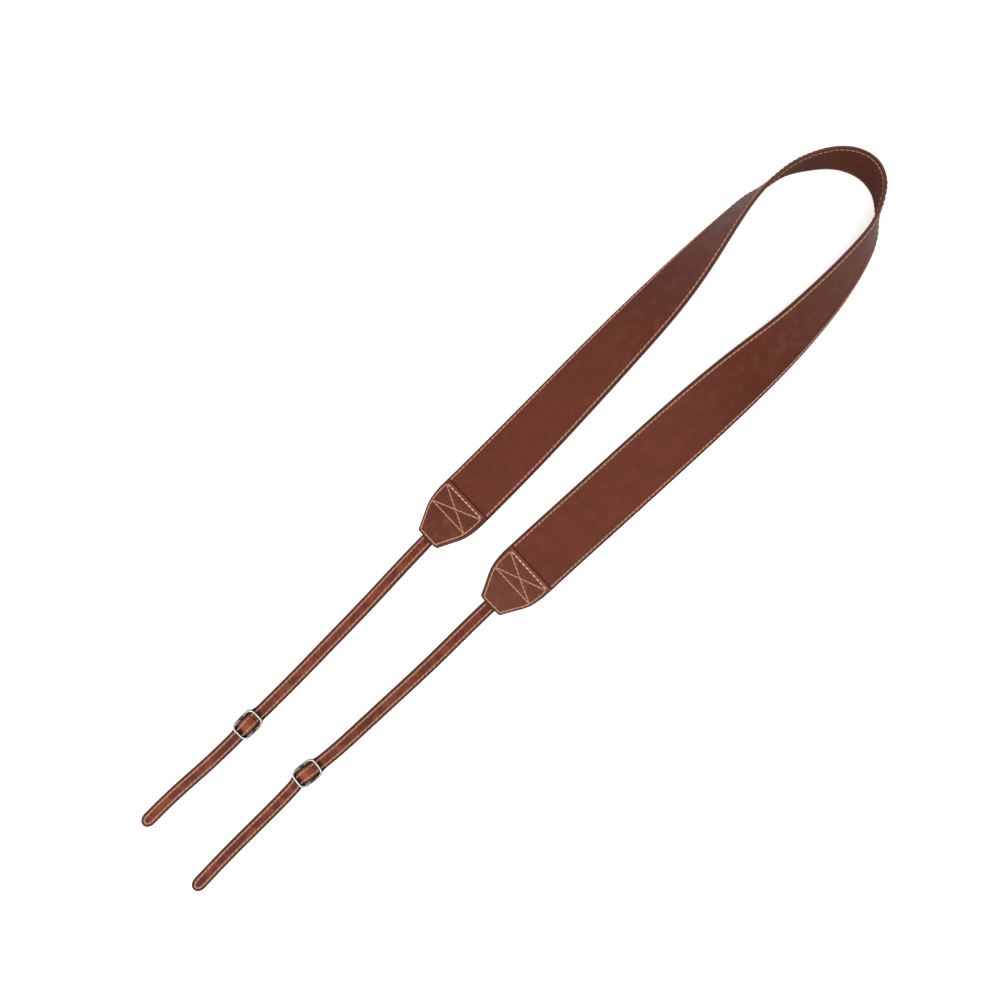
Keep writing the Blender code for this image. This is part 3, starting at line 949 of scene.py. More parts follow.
def leather_grain():
    """Pebbled grain, pores, uneven blotchy dye, and a darker tone where the leaf's mark asks, painted shade
    round the neck.
    """
    name = "Leather Grain"
    if name in bpy.data.node_groups:
        return bpy.data.node_groups[name]
    inputs = [("Position", "Vector"), ("Dye", "Color"), ("Deep Dye and Shade", "Color"), ("Rubbed Dye and Highlight", "Color"),
              ("Grain Size", "Float"), ("Unevenness", "Float"), ("Blotches", "Float"), ("Depth", "Float")]
    outputs = [("Colour", "Color"), ("Roughness", "Float"), ("Height", "Float")]
    tree, given, result = new_group(name, inputs, outputs)
    finer = value_of(tree, "DIVIDE", 1.0, given["Grain Size"])
    place = add_node(tree, "VectorMath", {0: given["Position"], 3: finer}, operation="SCALE").outputs[0]
    warp = add_node(tree, "TexNoise", {"Vector": place, "Scale": 0.7, "Detail": 2.0}).outputs[1]
    warp = add_node(tree, "VectorMath", {0: warp, 1: (0.5, 0.5, 0.5)}, operation="SUBTRACT").outputs[0]
    warp = add_node(tree, "VectorMath", {0: warp, 3: 1.1}, operation="SCALE").outputs[0]
    bent = add_node(tree, "VectorMath", {0: place, 1: warp}, operation="ADD").outputs[0]
    cells = add_node(
        tree, "TexVoronoi", {"Vector": bent, "Scale": 1.0, "Randomness": 0.9}, feature="DISTANCE_TO_EDGE"
    ).outputs[0]
    pebble = ramp(tree, cells, 0.0, 0.28)
    fine = noise(tree, place, 3.2, 3.0)
    patches = noise(tree, given["Position"], 26.0, 3.0)
    clouds = noise(tree, given["Position"], 150.0, 4.0)
    blotch = noise(tree, given["Position"], 260.0, 2.0)
    blotch = value_of(tree, "MULTIPLY", ramp(tree, blotch, 0.52, 0.43), given["Blotches"])
    deep = value_of(tree, "MULTIPLY", ramp(tree, patches, 0.38, 0.68), given["Unevenness"])
    deep = value_of(tree, "MAXIMUM", deep, blotch)
    # The leaf's mark: a darker tone on tabs and tails, painted shade round the neck
    deep = value_of(tree, "MAXIMUM", deep, given["Depth"])
    colour = blend_colour(tree, deep, given["Dye"], given["Deep Dye and Shade"])
    rubbed_and_highlight = value_of(tree, "MULTIPLY", ramp(tree, clouds, 0.47, 0.66), given["Unevenness"])
    colour = blend_colour(tree, rubbed_and_highlight, colour, given["Rubbed Dye and Highlight"])
    crease = value_of(tree, "MULTIPLY", value_of(tree, "SUBTRACT", 1.0, pebble), 0.50)
    colour = blend_colour(tree, crease, colour, given["Deep Dye and Shade"])
    tree.links.new(colour, result["Colour"])
    rough = value_of(tree, "MULTIPLY_ADD", fine, 0.16, 0.40)
    rough = value_of(tree, "MULTIPLY_ADD", crease, 0.25, rough)
    tree.links.new(rough, result["Roughness"])
    height = value_of(tree, "MULTIPLY_ADD", fine, 0.35, value_of(tree, "MULTIPLY", pebble, 0.65))
    tree.links.new(height, result["Height"])
    return tree


def edge_and_seams():
    """Painted cut edges, a dark strip partly burnished and partly painted shade, lighter seams partly worn
    and partly painted highlight, shade.
    """
    name = "Edge and Seams"
    if name in bpy.data.node_groups:
        return bpy.data.node_groups[name]
    inputs = [("Position", "Vector"), ("Colour", "Color"), ("Roughness", "Float"), ("Height", "Float"),
              ("Paint", "Float"), ("Border and Shade", "Float"), ("Pull", "Float"), ("Hole", "Float"),
              ("Rub and Highlight", "Float"), ("Painted Shade", "Float"), ("Edge Colour", "Color"), ("Rubbed Dye and Highlight", "Color")]
    outputs = [("Colour", "Color"), ("Roughness", "Float"), ("Height", "Float")]
    tree, given, result = new_group(name, inputs, outputs)
    unrest = noise(tree, given["Position"], 900.0, 3.0)
    wander = value_of(tree, "MULTIPLY_ADD", unrest, 0.5, -0.25)
    edge = ramp(tree, value_of(tree, "ADD", given["Paint"], wander), 0.25, 0.65)
    border_and_shade = ramp(tree, value_of(tree, "ADD", given["Border and Shade"], wander), 0.15, 0.70)
    # Lighter along the seams and where marked: partly worn light, partly painted highlight
    rub_and_highlight = value_of(tree, "MULTIPLY_ADD", ramp(tree, given["Pull"], 0.1, 0.8), 0.8, given["Rub and Highlight"])
    patchy = ramp(tree, value_of(tree, "MULTIPLY_ADD", unrest, 0.6, rub_and_highlight), 0.35, 1.1)
    colour = blend_colour(tree, patchy, given["Colour"], given["Rubbed Dye and Highlight"])
    # Painted shade in the needle holes
    colour = blend_colour(tree, ramp(tree, given["Hole"], 0.25, 0.8), colour, given["Edge Colour"])
    colour = blend_colour(tree, edge, colour, given["Edge Colour"])
    # The dark border: partly a burnished edge, partly painted shade
    burnished_and_shaded = blend_colour(tree, 1.0, given["Edge Colour"], (0.42, 0.40, 0.40, 1.0), "MULTIPLY")
    colour = blend_colour(tree, border_and_shade, colour, burnished_and_shaded)
    # Painted shade and shadow darken the leather where its mark is set
    painted_shade = blend_colour(tree, 1.0, colour, (0.10, 0.08, 0.08, 1.0), "MULTIPLY")
    colour = blend_colour(tree, given["Painted Shade"], colour, painted_shade)
    tree.links.new(colour, result["Colour"])
    rough = add_node(tree, "Mix", {0: edge, 2: given["Roughness"], 3: 0.42}).outputs[0]
    tree.links.new(rough, result["Roughness"])
    painted = value_of(tree, "MULTIPLY_ADD", unrest, 0.25, 0.35)
    height = add_node(tree, "Mix", {0: edge, 2: given["Height"], 3: painted}).outputs[0]
    tree.links.new(height, result["Height"])
    return tree


def tinted(colour, factor, shift=(1.0, 1.0, 1.0)):
    """A colour times the factor, with each channel shifted, as a socket takes it."""
    return tuple(min(1.0, c * factor * s) for c, s in zip(colour, shift)) + (1.0,)


def leather_material(name, colour, leather):
    """Dyed leather with painted edges. Each leaf's marks say where its edge, seams and needle holes are."""
    if name in bpy.data.materials:
        return bpy.data.materials[name]
    unevenness, blotches, deep_share, grain, roughness_lift, shine = FINISHES[name]
    material, tree, shader = new_material(name, colour)
    place = add_node(tree, "TexCoord").outputs["Object"]
    rubbed_and_highlight = tinted(colour, 1.45, (1.0, 1.05, 1.05))
    grain_node = add_node(tree, "Group", node_tree=leather_grain())
    grain_node.inputs["Dye"].default_value = tinted(colour, 1.0)
    grain_node.inputs["Deep Dye and Shade"].default_value = tinted(colour, deep_share, (1.0, 0.98, 1.0))
    grain_node.inputs["Rubbed Dye and Highlight"].default_value = rubbed_and_highlight
    grain_node.inputs["Grain Size"].default_value = leather.grain_size * grain
    grain_node.inputs["Unevenness"].default_value = unevenness
    grain_node.inputs["Blotches"].default_value = blotches
    tree.links.new(place, grain_node.inputs["Position"])
    edges = add_node(tree, "Group", node_tree=edge_and_seams())
    edges.inputs["Edge Colour"].default_value = tuple(leather.edge_colour) + (1.0,)
    edges.inputs["Rubbed Dye and Highlight"].default_value = rubbed_and_highlight
    tree.links.new(place, edges.inputs["Position"])
    for socket in ("Colour", "Roughness", "Height"):
        tree.links.new(grain_node.outputs[socket], edges.inputs[socket])
    marks = (
        (grain_node, "Depth", "darker_tone_and_shade"),
        (edges, "Paint", "edge_paint"),
        (edges, "Border and Shade", "border_and_shade"),
        (edges, "Pull", "seam_pull"),
        (edges, "Hole", "needle_hole"),
        (edges, "Rub and Highlight", "rubbed_and_highlight"),
        (edges, "Painted Shade", "painted_shade"),
    )
    for node, socket, mark in marks:
        reader = add_node(tree, "Attribute", attribute_name=mark)
        tree.links.new(reader.outputs["Fac"], node.inputs[socket])
    bump = add_node(tree, "Bump", {"Height": edges.outputs["Height"], "Distance": leather.grain_depth})
    rough = value_of(tree, "ADD", edges.outputs["Roughness"], roughness_lift)
    tree.links.new(edges.outputs["Colour"], shader.inputs["Base Color"])
    tree.links.new(rough, shader.inputs["Roughness"])
    tree.links.new(bump.outputs[0], shader.inputs["Normal"])
    shader.inputs["Specular IOR Level"].default_value = shine
    return material


def thread_material(stitching):
    """Twisted waxed thread: its twist follows the thread's own UV map."""
    name = "waxed_thread"
    if name in bpy.data.materials:
        return bpy.data.materials[name]
    colour = stitching.thread_colour
    material, tree, shader = new_material(name, colour)
    flat = add_node(tree, "UVMap", uv_map="Thread").outputs[0]
    parts = add_node(tree, "SeparateXYZ", {0: flat})
    around = value_of(tree, "MULTIPLY", parts.outputs[0], 2.0 * math.tau)
    turns = value_of(tree, "MULTIPLY_ADD", parts.outputs[1], 7.0 * math.tau, around)
    twist = value_of(tree, "MULTIPLY_ADD", value_of(tree, "SINE", turns), 0.5, 0.5)
    place = add_node(tree, "TexCoord").outputs["Object"]
    fibres = noise(tree, place, 2600.0, 3.0)
    ageing = noise(tree, place, 220.0, 2.0)
    base = blend_colour(tree, ramp(tree, ageing, 0.35, 0.7), tinted(colour, 1.08), tinted(colour, 0.82))
    worn_and_shaded = add_node(tree, "Attribute", attribute_name="thread_wear_and_shade").outputs["Fac"]
    # Worn thread is darker; on the lining's rows this darkening is partly painted shade
    base = blend_colour(tree, worn_and_shaded, base, tinted(colour, 0.42, (1.0, 0.94, 0.90)))
    # Painted shade: a share above 1 darkens the thread further
    painted_shade = value_of(tree, "MULTIPLY_ADD", worn_and_shaded, 2.0, -2.0)
    base = blend_colour(tree, painted_shade, base, tinted(colour, 0.12))
    groove = value_of(tree, "MULTIPLY", ramp(tree, twist, 0.45, 0.0), 0.35)
    base = blend_colour(tree, groove, base, tinted(colour, 0.45))
    height = value_of(tree, "MULTIPLY_ADD", fibres, 0.25, twist)
    bump = add_node(tree, "Bump", {"Height": height, "Distance": 0.00007})
    tree.links.new(base, shader.inputs["Base Color"])
    tree.links.new(bump.outputs[0], shader.inputs["Normal"])
    shader.inputs["Roughness"].default_value = 0.55
    shader.inputs["Specular IOR Level"].default_value = 0.3
    shader.inputs["Sheen Weight"].default_value = 0.15
    return material


def nickel_material(hardware):
    """Antique nickel: bright on the crest, tarnished in the corners, with painted shade on the rails."""
    name = "antique_nickel"
    if name in bpy.data.materials:
        return bpy.data.materials[name]
    metal = tuple(hardware.metal_colour) + (1.0,)
    tarnish_and_shade_tone = tuple(hardware.tarnish_and_shade_colour) + (1.0,)
    material, tree, shader = new_material(name, hardware.metal_colour)
    place = add_node(tree, "TexCoord").outputs["Object"]
    tarnish_and_shade = add_node(tree, "Attribute", attribute_name="tarnish_and_shade").outputs["Fac"]
    smudge = noise(tree, place, 900.0, 4.0)
    scratch = noise(tree, place, 5200.0, 2.0)
    mottle = value_of(tree, "MULTIPLY_ADD", smudge, 0.12, -0.06)
    dark = ramp(tree, value_of(tree, "ADD", tarnish_and_shade, mottle), 0.25, 0.85)
    colour = blend_colour(tree, dark, metal, tarnish_and_shade_tone)
    rough = value_of(tree, "MULTIPLY_ADD", dark, 0.28, value_of(tree, "MULTIPLY_ADD", smudge, 0.10, 0.33))
    bump = add_node(tree, "Bump", {"Height": scratch, "Distance": 0.000002})
    tree.links.new(colour, shader.inputs["Base Color"])
    tree.links.new(rough, shader.inputs["Roughness"])
    tree.links.new(bump.outputs[0], shader.inputs["Normal"])
    shader.inputs["Metallic"].default_value = 1.0
    return material


def floor_material(stage):
    """Plain pale studio floor. Its glow is seen in full, and lights the strap more weakly."""
    material, tree, shader = new_material("studio_floor", stage.floor_colour)
    place = add_node(tree, "TexCoord").outputs["Object"]
    clouds = noise(tree, place, 3.0, 3.0)
    pale = tuple(stage.floor_colour) + (1.0,)
    colour = blend_colour(tree, clouds, pale, tinted(stage.floor_colour, 0.985))
    tree.links.new(colour, shader.inputs["Base Color"])
    seen = add_node(tree, "LightPath").outputs["Is Camera Ray"]
    glow = blend_colour(tree, seen, (GLOW_ON_STRAP,) * 3 + (1.0,), (1.0, 1.0, 1.0, 1.0))
    tree.links.new(glow, shader.inputs["Emission Color"])
    shader.inputs["Emission Strength"].default_value = stage.table_glow
    shader.inputs["Roughness"].default_value = 0.9
    shader.inputs["Specular IOR Level"].default_value = 0.1
    return material


# Operators

class StrapStep:
    """What every step of the strap shares."""

    bl_options = {"REGISTER", "UNDO"}

    @staticmethod
    def leather():
        """The leather's settings."""
        return bpy.context.scene.strap_leather

    @staticmethod
    def stitching():
        """The stitching's settings."""
        return bpy.context.scene.strap_stitching


class STRAP_OT_band(StrapStep, Operator):
    """Lay the front leather and the lining of the band"""

    bl_idname = "strap.band"
    bl_label = "Band"

    def execute(self, context):
        leather = self.leather()
        seams = band_seams(self.stitching())
        rounding = leather.edge_round
        steps = np.arange(0.003, 0.034, 0.003)
        in_from_end = np.concatenate([end_steps(TAB_CORNER), end_steps(rounding), steps])
        under_tab = np.unique(np.round(TAB_LENGTH - in_from_end, 7))
        crease = np.array((0.0, 0.0003, 0.0006, 0.0009))
        middle = np.concatenate([crease, between_holes(seams[0][:, 0]), ROUTE.band_end - crease[::-1]])
        lengths = np.concatenate([-under_tab[::-1], middle, ROUTE.band_end + under_tab])
        past = ROUTE.past_tab(lengths)
        halves = tab_half_width(past)
        drop = round_ends(TAB_LENGTH - past, rounding)
        half = BAND_WIDTH / 2 - rounding
        seam = self.stitching().band_inset - rounding
        places = (0.0, 0.00022, *over_seam(seam), seam + 0.0020, 0.0050, 0.0090, 0.0135)
        fine = cuts_from_edge(half, places)
        plain = cuts_from_edge(half, (0.0, 0.006))[1:-1]
        for layer, colour in (("face", leather.face_colour), ("lining", leather.lining_colour)):
            leaf = Section(
                lengths, halves, FACE_LOW, FACE_HIGH - drop, fine, plain, rounding, FACE_UNDER_ROUND
            )
            leaf.fall(underside_too=False)
            leaf.sew(leaf.top, seams, leather.seam_depth, 1.0)
            if layer == "face":
                self.mark_face(leaf)
            else:
                leaf.q = -leaf.q
            piece = lay_leaf("band_" + layer + "_leather", leaf)
            dress(piece, leather_material(layer + "_leather", colour, leather), "band_" + layer)
        return {"FINISHED"}

    def mark_face(self, leaf):
        """Painted shade round the neck, where the band leans over, and a painted shadow on the band at each
        tab's top edge.
        """
        leaf.mark("darker_tone_and_shade", NECK_SHADE * self.neck(leaf.lengths))
        from_tab = np.minimum(leaf.lengths, ROUTE.band_end - leaf.lengths)
        # Painted shadow of the tab's step on the band
        leaf.mark("painted_shade", STEP_SHADOW * np.exp(-(from_tab / STEP_REACH) ** 2))

    @staticmethod
    def neck(lengths):
        """1 where the band lies round the neck, 0 on its straight arms."""
        from_start = smooth((lengths - NECK_START) / NECK_FADE)
        return from_start * smooth((ROUTE.band_end - lengths - NECK_START) / NECK_FADE)


class STRAP_OT_tabs(StrapStep, Operator):
    """Lay the tab leaves in front of and behind both ends of the band"""

    bl_idname = "strap.tabs"
    bl_label = "Tabs"

    def execute(self, context):
        leather = self.leather()
        rounding = leather.edge_round * 0.9
        ends = end_steps(rounding)
        corner = TAB_LENGTH - end_steps(TAB_CORNER)
        body = np.arange(0.001, TAB_LENGTH - 0.001, 0.0005)
        past = np.unique(np.round(np.concatenate([ends, body, corner, TAB_LENGTH - ends]), 7))
        halves = tab_half_width(past) - round_ends(past, TAB_TOP_CORNER)
        drop = np.maximum(round_ends(past, rounding), round_ends(TAB_LENGTH - past, rounding))
        cuts = np.linspace(-1.0, 1.0, 75)
        plain = np.array((-0.5, 0.5))
        front_leather = leather_material("tab_leather", leather.tab_colour, leather)
        back_leather = leather_material("tab_back_leather", leather.lining_colour, leather)
        for side in SIDES:
            seams = tab_seams(side, self.stitching())
            lengths = ROUTE.from_tab(side, past)
            order = np.argsort(lengths)
            for layer, outwards, inset in (("front", 1.0, TAB_INSET), ("back", -1.0, BACK_TAB_INSET)):
                leaf = Section(
                    lengths[order], (halves - inset)[order], TAB_LOW, (TAB_HIGH - drop)[order],
                    cuts, plain, rounding, TAB_UNDER_ROUND,
                )
                leaf.fall(underside_too=True)
                leaf.sew(leaf.top, seams, leather.seam_depth * 1.1, 1.0)
                self.highlight_top_edge(leaf)
                leaf.marks["darker_tone_and_shade"] += TAB_DEPTH[side]
                leaf.q = leaf.q * outwards
                node = "tab_" + layer + "_" + side
                piece = lay_leaf(node + "_leather", leaf)
                dress(piece, front_leather if layer == "front" else back_leather, node)
        return {"FINISHED"}

    @staticmethod
    def highlight_top_edge(leaf):
        """Painted highlight: the straight edge over the band is made light instead of dark."""
        near = np.exp(-(ROUTE.past_tab(leaf.lengths) / TOP_EDGE_REACH) ** 2)
        leaf.marks["border_and_shade"] *= 1.0 - near[:, None]
        leaf.mark("rubbed_and_highlight", near)


class STRAP_OT_thin_straps(StrapStep, Operator):
    """Lay the two narrow straps from inside the tabs to their rounded tips"""

    bl_idname = "strap.thin_straps"
    bl_label = "Narrow Straps"

    def execute(self, context):
        leather = self.leather()
        stitching = self.stitching()
        material = leather_material("thin_strap_leather", leather.thin_colour, leather)
        for side in SIDES:
            seams = thin_seams(side, stitching)
            tip = ROUTE.tip[side]
            between = between_holes(ROUTE.past_tab(seams[0][:, 0]))
            turn = tip - TIP_LENGTH * (1.0 - np.sin(np.radians(np.linspace(4.0, 86.0, 22))))
            past = np.concatenate([[THIN_ROOT, THIN_ROOT + 0.002, TAB_LENGTH - 0.0005], between, turn])
            past = np.unique(np.round(past, 7))
            past = past[np.concatenate([[True], np.diff(past) > 2e-6])]
            halves = thin_half_width(side, past) + HUMP_SPREAD * near_bar(side, past, HUMP_REACH)
            full = smooth((past - TAB_LENGTH - 0.001) / SKIVE_LENGTH)
            low = THIN_HIGH - LEAF - (THIN_LEAF - LEAF) * full
            drop = round_ends(tip - past, TIP_ROUND)
            places = (0.0, 0.0002, *over_seam(stitching.thin_inset - THIN_ROUND), 0.0030)
            cuts = cuts_from_edge(THIN_WIDTH / 2 - THIN_ROUND, places)
            lengths = ROUTE.from_tab(side, past)
            order = np.argsort(lengths)
            leaf = Section(
                lengths[order], halves[order], low[order], (THIN_HIGH - drop)[order],
                cuts, cuts[1:-1], THIN_ROUND, THIN_UNDER_ROUND, THIN_CROWN, THIN_STRIP,
            )
            self.mark_buckle_wear_and_shade(leaf, side)
            leaf.v += through_buckle(side, ROUTE.past_tab(leaf.lengths))[:, None]
            leaf.sew(leaf.top, seams, leather.seam_depth, 1.0)
            leaf.sew(leaf.under, seams, leather.seam_depth * 1.3, -1.0)
            node = "thin_strap_" + side
            piece = lay_leaf(node + "_leather", leaf)
            dress(piece, material, node)
        return {"FINISHED"}

    @staticmethod
    def mark_buckle_wear_and_shade(leaf, side):
        """Painted light at the buckle: a lighter hump, painted shadow of the end bars, shade beside the
        rails; the tail past it is darker.
        """
        past = ROUTE.past_tab(leaf.lengths)
        bars = BUCKLES[side][0] + np.array([[-FRAME_HALF_LENGTH], [FRAME_HALF_LENGTH]])
        # Painted shadow of each end bar on the strap
        dips = np.exp(-((past - bars + DIP_SHIFT) / DIP_REACH) ** 4).max(axis=0)
        # Painted shade along the strap's edges under the side rails
        beside = RAIL_SHADE * near_bar(side, past, RAIL_REACH)[:, None]
        at_edge = smooth((np.abs(leaf.v) - THIN_WIDTH / 2 + 0.0007) / 0.0005)
        # The hump is lighter: rubbed wear and a painted highlight
        leaf.mark("rubbed_and_highlight", near_bar(side, past, HUMP_RUB_AND_HIGHLIGHT_REACH))
        leaf.mark("darker_tone_and_shade", TAIL_DEPTH[side] * smooth((past - bars[1]) / TAIL_FADE))
        leaf.marks["painted_shade"] = np.maximum(DIP_SHADOW * dips[:, None], beside * at_edge)


class STRAP_OT_stitching(StrapStep, Operator):
    """Sew every seam of the band, the tabs and the narrow straps"""

    bl_idname = "strap.stitching"
    bl_label = "Stitching"

    def execute(self, context):
        stitching = self.stitching()
        thread = thread_material(stitching)
        sunk = self.leather().seam_depth * PULL_SHARE

        def on_face(top):
            return lambda holes: top - face_fall(holes[:, 1]) - sunk

        def behind(top):
            return lambda holes: face_fall(holes[:, 1]) + sunk - top

        def on_thin_strap(holes):
            half = THIN_WIDTH / 2 - THIN_ROUND
            return THIN_HIGH - THIN_CROWN * (holes[:, 1] / half) ** 2 - sunk

        def under_thin_strap(holes):
            return np.full(len(holes), THIN_HIGH - THIN_LEAF)

        def sew(name, seams, looks, depth_of, outwards, lift):
            dress(sew_seams(name, seams, looks, depth_of, outwards, stitching, lift), thread)

        band = band_seams(stitching)
        sew("band_front_stitching", band, [BAND_LOOK, BAND_LOOK], on_face(FACE_HIGH), 1.0, BAND_LIFT)
        lining_looks = [LOW_LINING_LOOK, RAISED_LINING_LOOK]
        sew("band_back_stitching", band, lining_looks, behind(FACE_HIGH), -1.0, BAND_LIFT)
        for side in SIDES:
            tab = tab_seams(side, stitching)
            looks = [TAB_LOOK] * (len(tab) - 1) + [TOP_ROW_LOOK]
            name = "tab_stitching_" + side
            sew(name + "_front", tab, looks, on_face(TAB_HIGH), 1.0, TAB_LIFTS["front"])
            sew(name + "_back", tab, looks, behind(TAB_HIGH), -1.0, TAB_LIFTS["back"])
            thin = thin_seams(side, stitching)
            looks = [THIN_LOOK] * len(thin)
            name = "thin_strap_stitching_" + side
            sew(name + "_top", thin, looks, on_thin_strap, 1.0, THIN_LIFTS["top"])
            sew(name + "_under", thin, looks, under_thin_strap, -1.0, THIN_LIFTS["under"])
        return {"FINISHED"}


def frame_line(count):
    """Evenly spaced points of the buckle's bowed frame, and the directions out of it."""
    turn = np.linspace(0.0, math.tau, 4001)
    power = 2.0 / FRAME_SQUARENESS
    x = np.sign(np.cos(turn)) * np.abs(np.cos(turn)) ** power * FRAME_HALF_WIDTH
    y = np.sign(np.sin(turn)) * np.abs(np.sin(turn)) ** power * FRAME_HALF_LENGTH
    run = np.concatenate([[0.0], np.cumsum(np.hypot(np.diff(x), np.diff(y)))])
    at = np.linspace(0.0, run[-1], count + 1)[:-1]
    line = np.column_stack([np.interp(at, run, x), np.interp(at, run, y)])
    along = unit(np.roll(line, -1, axis=0) - np.roll(line, 1, axis=0))
    return line, np.column_stack([along[:, 1], -along[:, 0]])


class STRAP_OT_buckles(StrapStep, Operator):
    """Make the two slide buckles: a bowed wire frame with a centre bar"""

    bl_idname = "strap.buckles"
    bl_label = "Buckles"

    def execute(self, context):
        material = nickel_material(context.scene.strap_hardware)
        for side in SIDES:
            piece = self.wire_frame("buckle_" + side + "_nickel")
            self.join_bar(piece)
            self.mark_tarnish_and_shade(piece)
            self.put_on_strap(piece, side)
            dress(piece, material, "buckle_" + side)
        return {"FINISHED"}

    @staticmethod
    def wire_frame(name):
        """A torus laid along the frame's bowed line."""
        turns, sides = 112, 16
        bpy.ops.object.select_all(action="DESELECT")
        bpy.ops.mesh.primitive_torus_add(
            major_segments=turns, minor_segments=sides,
            major_radius=FRAME_HALF_LENGTH, minor_radius=WIRE_RADIUS,
        )
        piece = bpy.context.object
        piece.name = name
        piece.data.name = name
        line, out = frame_line(turns)
        angles = np.arange(sides) * math.tau / sides
        off = np.cos(angles) * WIRE_RADIUS
        up = np.where(np.sin(angles) < 0.0, WIRE_DEPTH, WIRE_RADIUS) * np.sin(angles)
        flat = line[:, None] + out[:, None] * off[None, :, None]
        heights = np.broadcast_to(up[None, :, None], flat.shape[:2] + (1,))
        piece.data.vertices.foreach_set("co", np.concatenate([flat, heights], axis=2).ravel())
        piece.data.update()
        face_outwards()
        return piece

    @staticmethod
    def join_bar(piece):
        """Adds the flattened centre bar, swelling where it meets the frame."""
        bpy.ops.object.select_all(action="DESELECT")
        bpy.ops.mesh.primitive_cylinder_add(
            vertices=20, radius=1.0, depth=2 * FRAME_HALF_WIDTH, end_fill_type="NGON",
            rotation=(0.0, math.radians(90.0), 0.0),
        )
        bar = bpy.context.object
        settle(bar)
        cut_lengthwise(bar, FRAME_HALF_WIDTH, 15)
        for vertex in bar.data.vertices:
            from_wire = FRAME_HALF_WIDTH - WIRE_RADIUS - abs(vertex.co.x)
            swell = 1.0 + BAR_SWELL * (1.0 - float(smooth(from_wire / SWELL_REACH)))
            vertex.co.y *= BAR_HALF_WIDTH * swell
            vertex.co.z = vertex.co.z * BAR_HALF_THICK - BAR_DROP * (1.0 if from_wire > 0 else BAR_END_DROP)
        join = piece.modifiers.new("join_bar", "BOOLEAN")
        join.operation = "UNION"
        join.solver = "EXACT"
        join.object = bar
        select_only(piece)
        bpy.ops.object.modifier_apply(modifier="join_bar")
        bpy.data.objects.remove(bar)
        bpy.ops.object.shade_smooth_by_angle(angle=math.radians(40.0))

    @staticmethod
    def mark_tarnish_and_shade(piece):
        """Marks where the nickel is darker: tarnish off the crests and most at the bar; painted shade on the
        rails' crests.
        """
        mesh = piece.data
        mark = mesh.attributes.new("tarnish_and_shade", "FLOAT", "POINT")
        for vertex, value in zip(mesh.vertices, mark.data):
            x, y, z = vertex.co
            joint = max(0.0, 1.0 - math.hypot(abs(x) - FRAME_HALF_WIDTH + WIRE_RADIUS, y) / JOINT_REACH)
            crest = max(0.0, z / WIRE_RADIUS) ** 3
            # Painted shade: the rails' crests are brightened less than the end bars' crests
            on_end = float(smooth((abs(y) / FRAME_HALF_LENGTH - 0.55) / 0.3))
            value.value = min(1.0, joint + 0.85 - 0.80 * crest * (0.42 + 0.58 * on_end))

    @staticmethod
    def put_on_strap(piece, side):
        """Turns the buckle into line with the strap and moves it to its place."""
        along, shift, turn = BUCKLES[side]
        u = ROUTE.from_tab(side, along)
        reach = 0.005
        centre, before, after = ROUTE.middle(np.array((u, u - reach, u + reach)))
        heading = math.atan2(after[1] - before[1], after[0] - before[0]) - math.pi / 2
        if side == "right":
            heading += math.pi
        spin = Matrix.Rotation(heading + math.radians(turn), 4, "Z")
        piece.data.transform(Matrix.Translation((centre[0] + shift, centre[1], FRAME_HEIGHT)) @ spin)


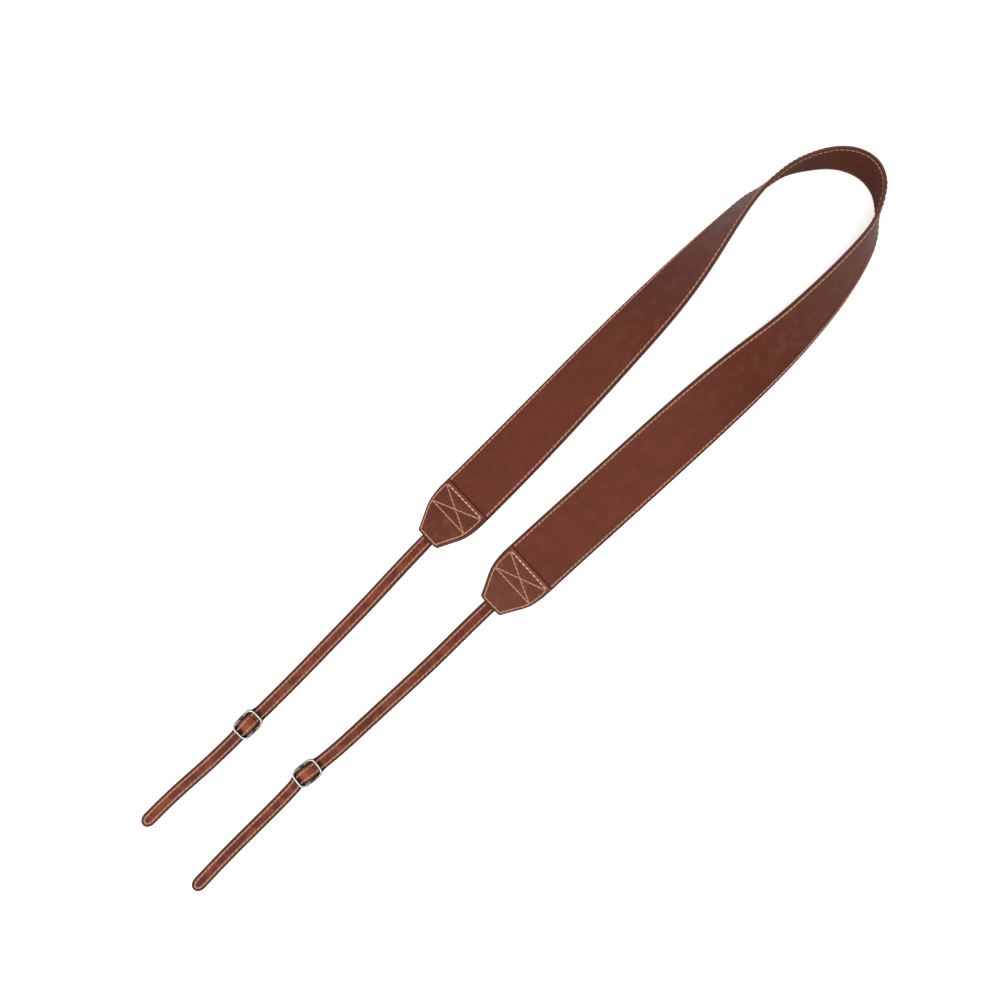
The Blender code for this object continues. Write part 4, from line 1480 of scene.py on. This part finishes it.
class STRAP_OT_stage(StrapStep, Operator):
    """Set up the pale floor, the soft lights and the camera"""

    bl_idname = "strap.stage"
    bl_label = "Stage"

    def execute(self, context):
        stage = context.scene.strap_stage
        self.lay_floor(stage)
        self.hang_lights(context.scene, stage)
        self.place_camera(context.scene, stage)
        context.scene.view_settings.view_transform = "Standard"
        return {"FINISHED"}

    @staticmethod
    def lay_floor(stage):
        """A round floor whose rim sweeps up into a wall."""
        rings = np.arange(RIM_RINGS + 1)
        radii = FLOOR_RADIUS + RING_WIDTH * rings
        heights = RIM_RISE * (1.0 - np.sqrt(1.0 - (rings / RIM_RINGS) ** 2))
        bpy.ops.object.select_all(action="DESELECT")
        bpy.ops.mesh.primitive_circle_add(vertices=96, radius=radii[-1], fill_type="NGON")
        floor = bpy.context.object
        floor.name = "studio_floor"
        bpy.ops.object.mode_set(mode="EDIT")
        bpy.ops.mesh.select_all(action="SELECT")
        for _ in range(RIM_RINGS):
            bpy.ops.mesh.inset(thickness=RING_WIDTH)
        for inner, rise in zip(radii[:-1], np.diff(heights)):
            bpy.ops.mesh.select_all(action="DESELECT")
            bpy.ops.object.mode_set(mode="OBJECT")
            for vertex in floor.data.vertices:
                vertex.select = bool(math.hypot(vertex.co.x, vertex.co.y) > inner + RING_WIDTH / 2)
            bpy.ops.object.mode_set(mode="EDIT")
            bpy.ops.transform.translate(value=(0.0, 0.0, rise))
        bpy.ops.object.mode_set(mode="OBJECT")
        bpy.ops.object.shade_smooth()
        floor.data.materials.append(floor_material(stage))

    @staticmethod
    def hang_lights(scene, stage):
        """A soft key from the tails' end, a weak fill overhead, and a room that is brightest above."""
        lights = [
            # name, place, size, power
            ("key_light", (0.1, -0.75, 0.95), 0.8, stage.key_power),
            ("fill_light", (0.4, 0.3, 1.6), 1.5, stage.fill_power),
        ]
        for name, place, size, power in lights:
            bpy.ops.object.select_all(action="DESELECT")
            bpy.ops.object.light_add(type="AREA", location=place)
            light = bpy.context.object
            light.name = name
            light.data.shape = "DISK"
            light.data.size = size
            light.data.energy = power
            light.rotation_euler = (-Vector(place)).to_track_quat("-Z", "Y").to_euler()
        world = bpy.data.worlds.new("studio_room")
        world.use_nodes = True
        background = world.node_tree.nodes["Background"]
        background.inputs["Color"].default_value = (1.0, 1.0, 1.0, 1.0)
        direction = add_node(world.node_tree, "TexCoord").outputs["Generated"]
        height = add_node(world.node_tree, "SeparateXYZ", {0: direction}).outputs[2]
        low = HORIZON_SHARE * stage.room_light
        strength = ramp(world.node_tree, height, 0.0, 1.0, low, stage.room_light)
        world.node_tree.links.new(strength, background.inputs["Strength"])
        scene.world = world

    @staticmethod
    def place_camera(scene, stage):
        """Straight above the strap, turned so that the strap runs up to the right."""
        bpy.ops.object.select_all(action="DESELECT")
        bpy.ops.object.camera_add(
            location=(-CENTRE_X - CAMERA_SHIFT, -CENTRE_Y, stage.camera_height),
            rotation=(0.0, 0.0, math.radians(45.0)),
        )
        camera = bpy.context.object
        camera.name = "camera"
        camera.data.sensor_width = 36.0
        camera.data.lens = camera.data.sensor_width * stage.camera_height / stage.view_width
        camera.data.clip_start = 0.01
        scene.camera = camera


class STRAP_PT_steps(Panel):
    """The strap's steps and settings"""

    bl_idname = "STRAP_PT_steps"
    bl_label = "Leather Camera Strap"
    bl_space_type = "VIEW_3D"
    bl_region_type = "UI"
    bl_category = "Strap"

    def draw(self, context):
        scene = context.scene
        parts = [
            (scene.strap_leather, (STRAP_OT_band, STRAP_OT_tabs, STRAP_OT_thin_straps)),
            (scene.strap_stitching, (STRAP_OT_stitching,)),
            (scene.strap_hardware, (STRAP_OT_buckles,)),
            (scene.strap_stage, (STRAP_OT_stage,)),
        ]
        for settings, steps in parts:
            box = self.layout.box()
            for key in settings.__annotations__:
                box.prop(settings, key)
            for step in steps:
                box.operator(step.bl_idname)


CLASSES = (
    StrapLeather, StrapStitching, StrapHardware, StrapStage,
    STRAP_OT_band, STRAP_OT_tabs, STRAP_OT_thin_straps, STRAP_OT_stitching, STRAP_OT_buckles, STRAP_OT_stage,
    STRAP_PT_steps,
)
SETTINGS = {
    "strap_leather": StrapLeather,
    "strap_stitching": StrapStitching,
    "strap_hardware": StrapHardware,
    "strap_stage": StrapStage,
}


def register():
    """Adds the classes and their settings."""
    for item in CLASSES:
        bpy.utils.register_class(item)
    for key, group in SETTINGS.items():
        setattr(bpy.types.Scene, key, PointerProperty(type=group))


def unregister():
    """Takes the settings and the classes away again."""
    for key in SETTINGS:
        delattr(bpy.types.Scene, key)
    for item in reversed(CLASSES):
        bpy.utils.unregister_class(item)


def main():
    """Makes the strap and its stage."""
    register()
    bpy.ops.strap.band()
    bpy.ops.strap.tabs()
    bpy.ops.strap.thin_straps()
    bpy.ops.strap.stitching()
    bpy.ops.strap.buckles()
    bpy.ops.strap.stage()


if __name__ == "__main__":
    main()
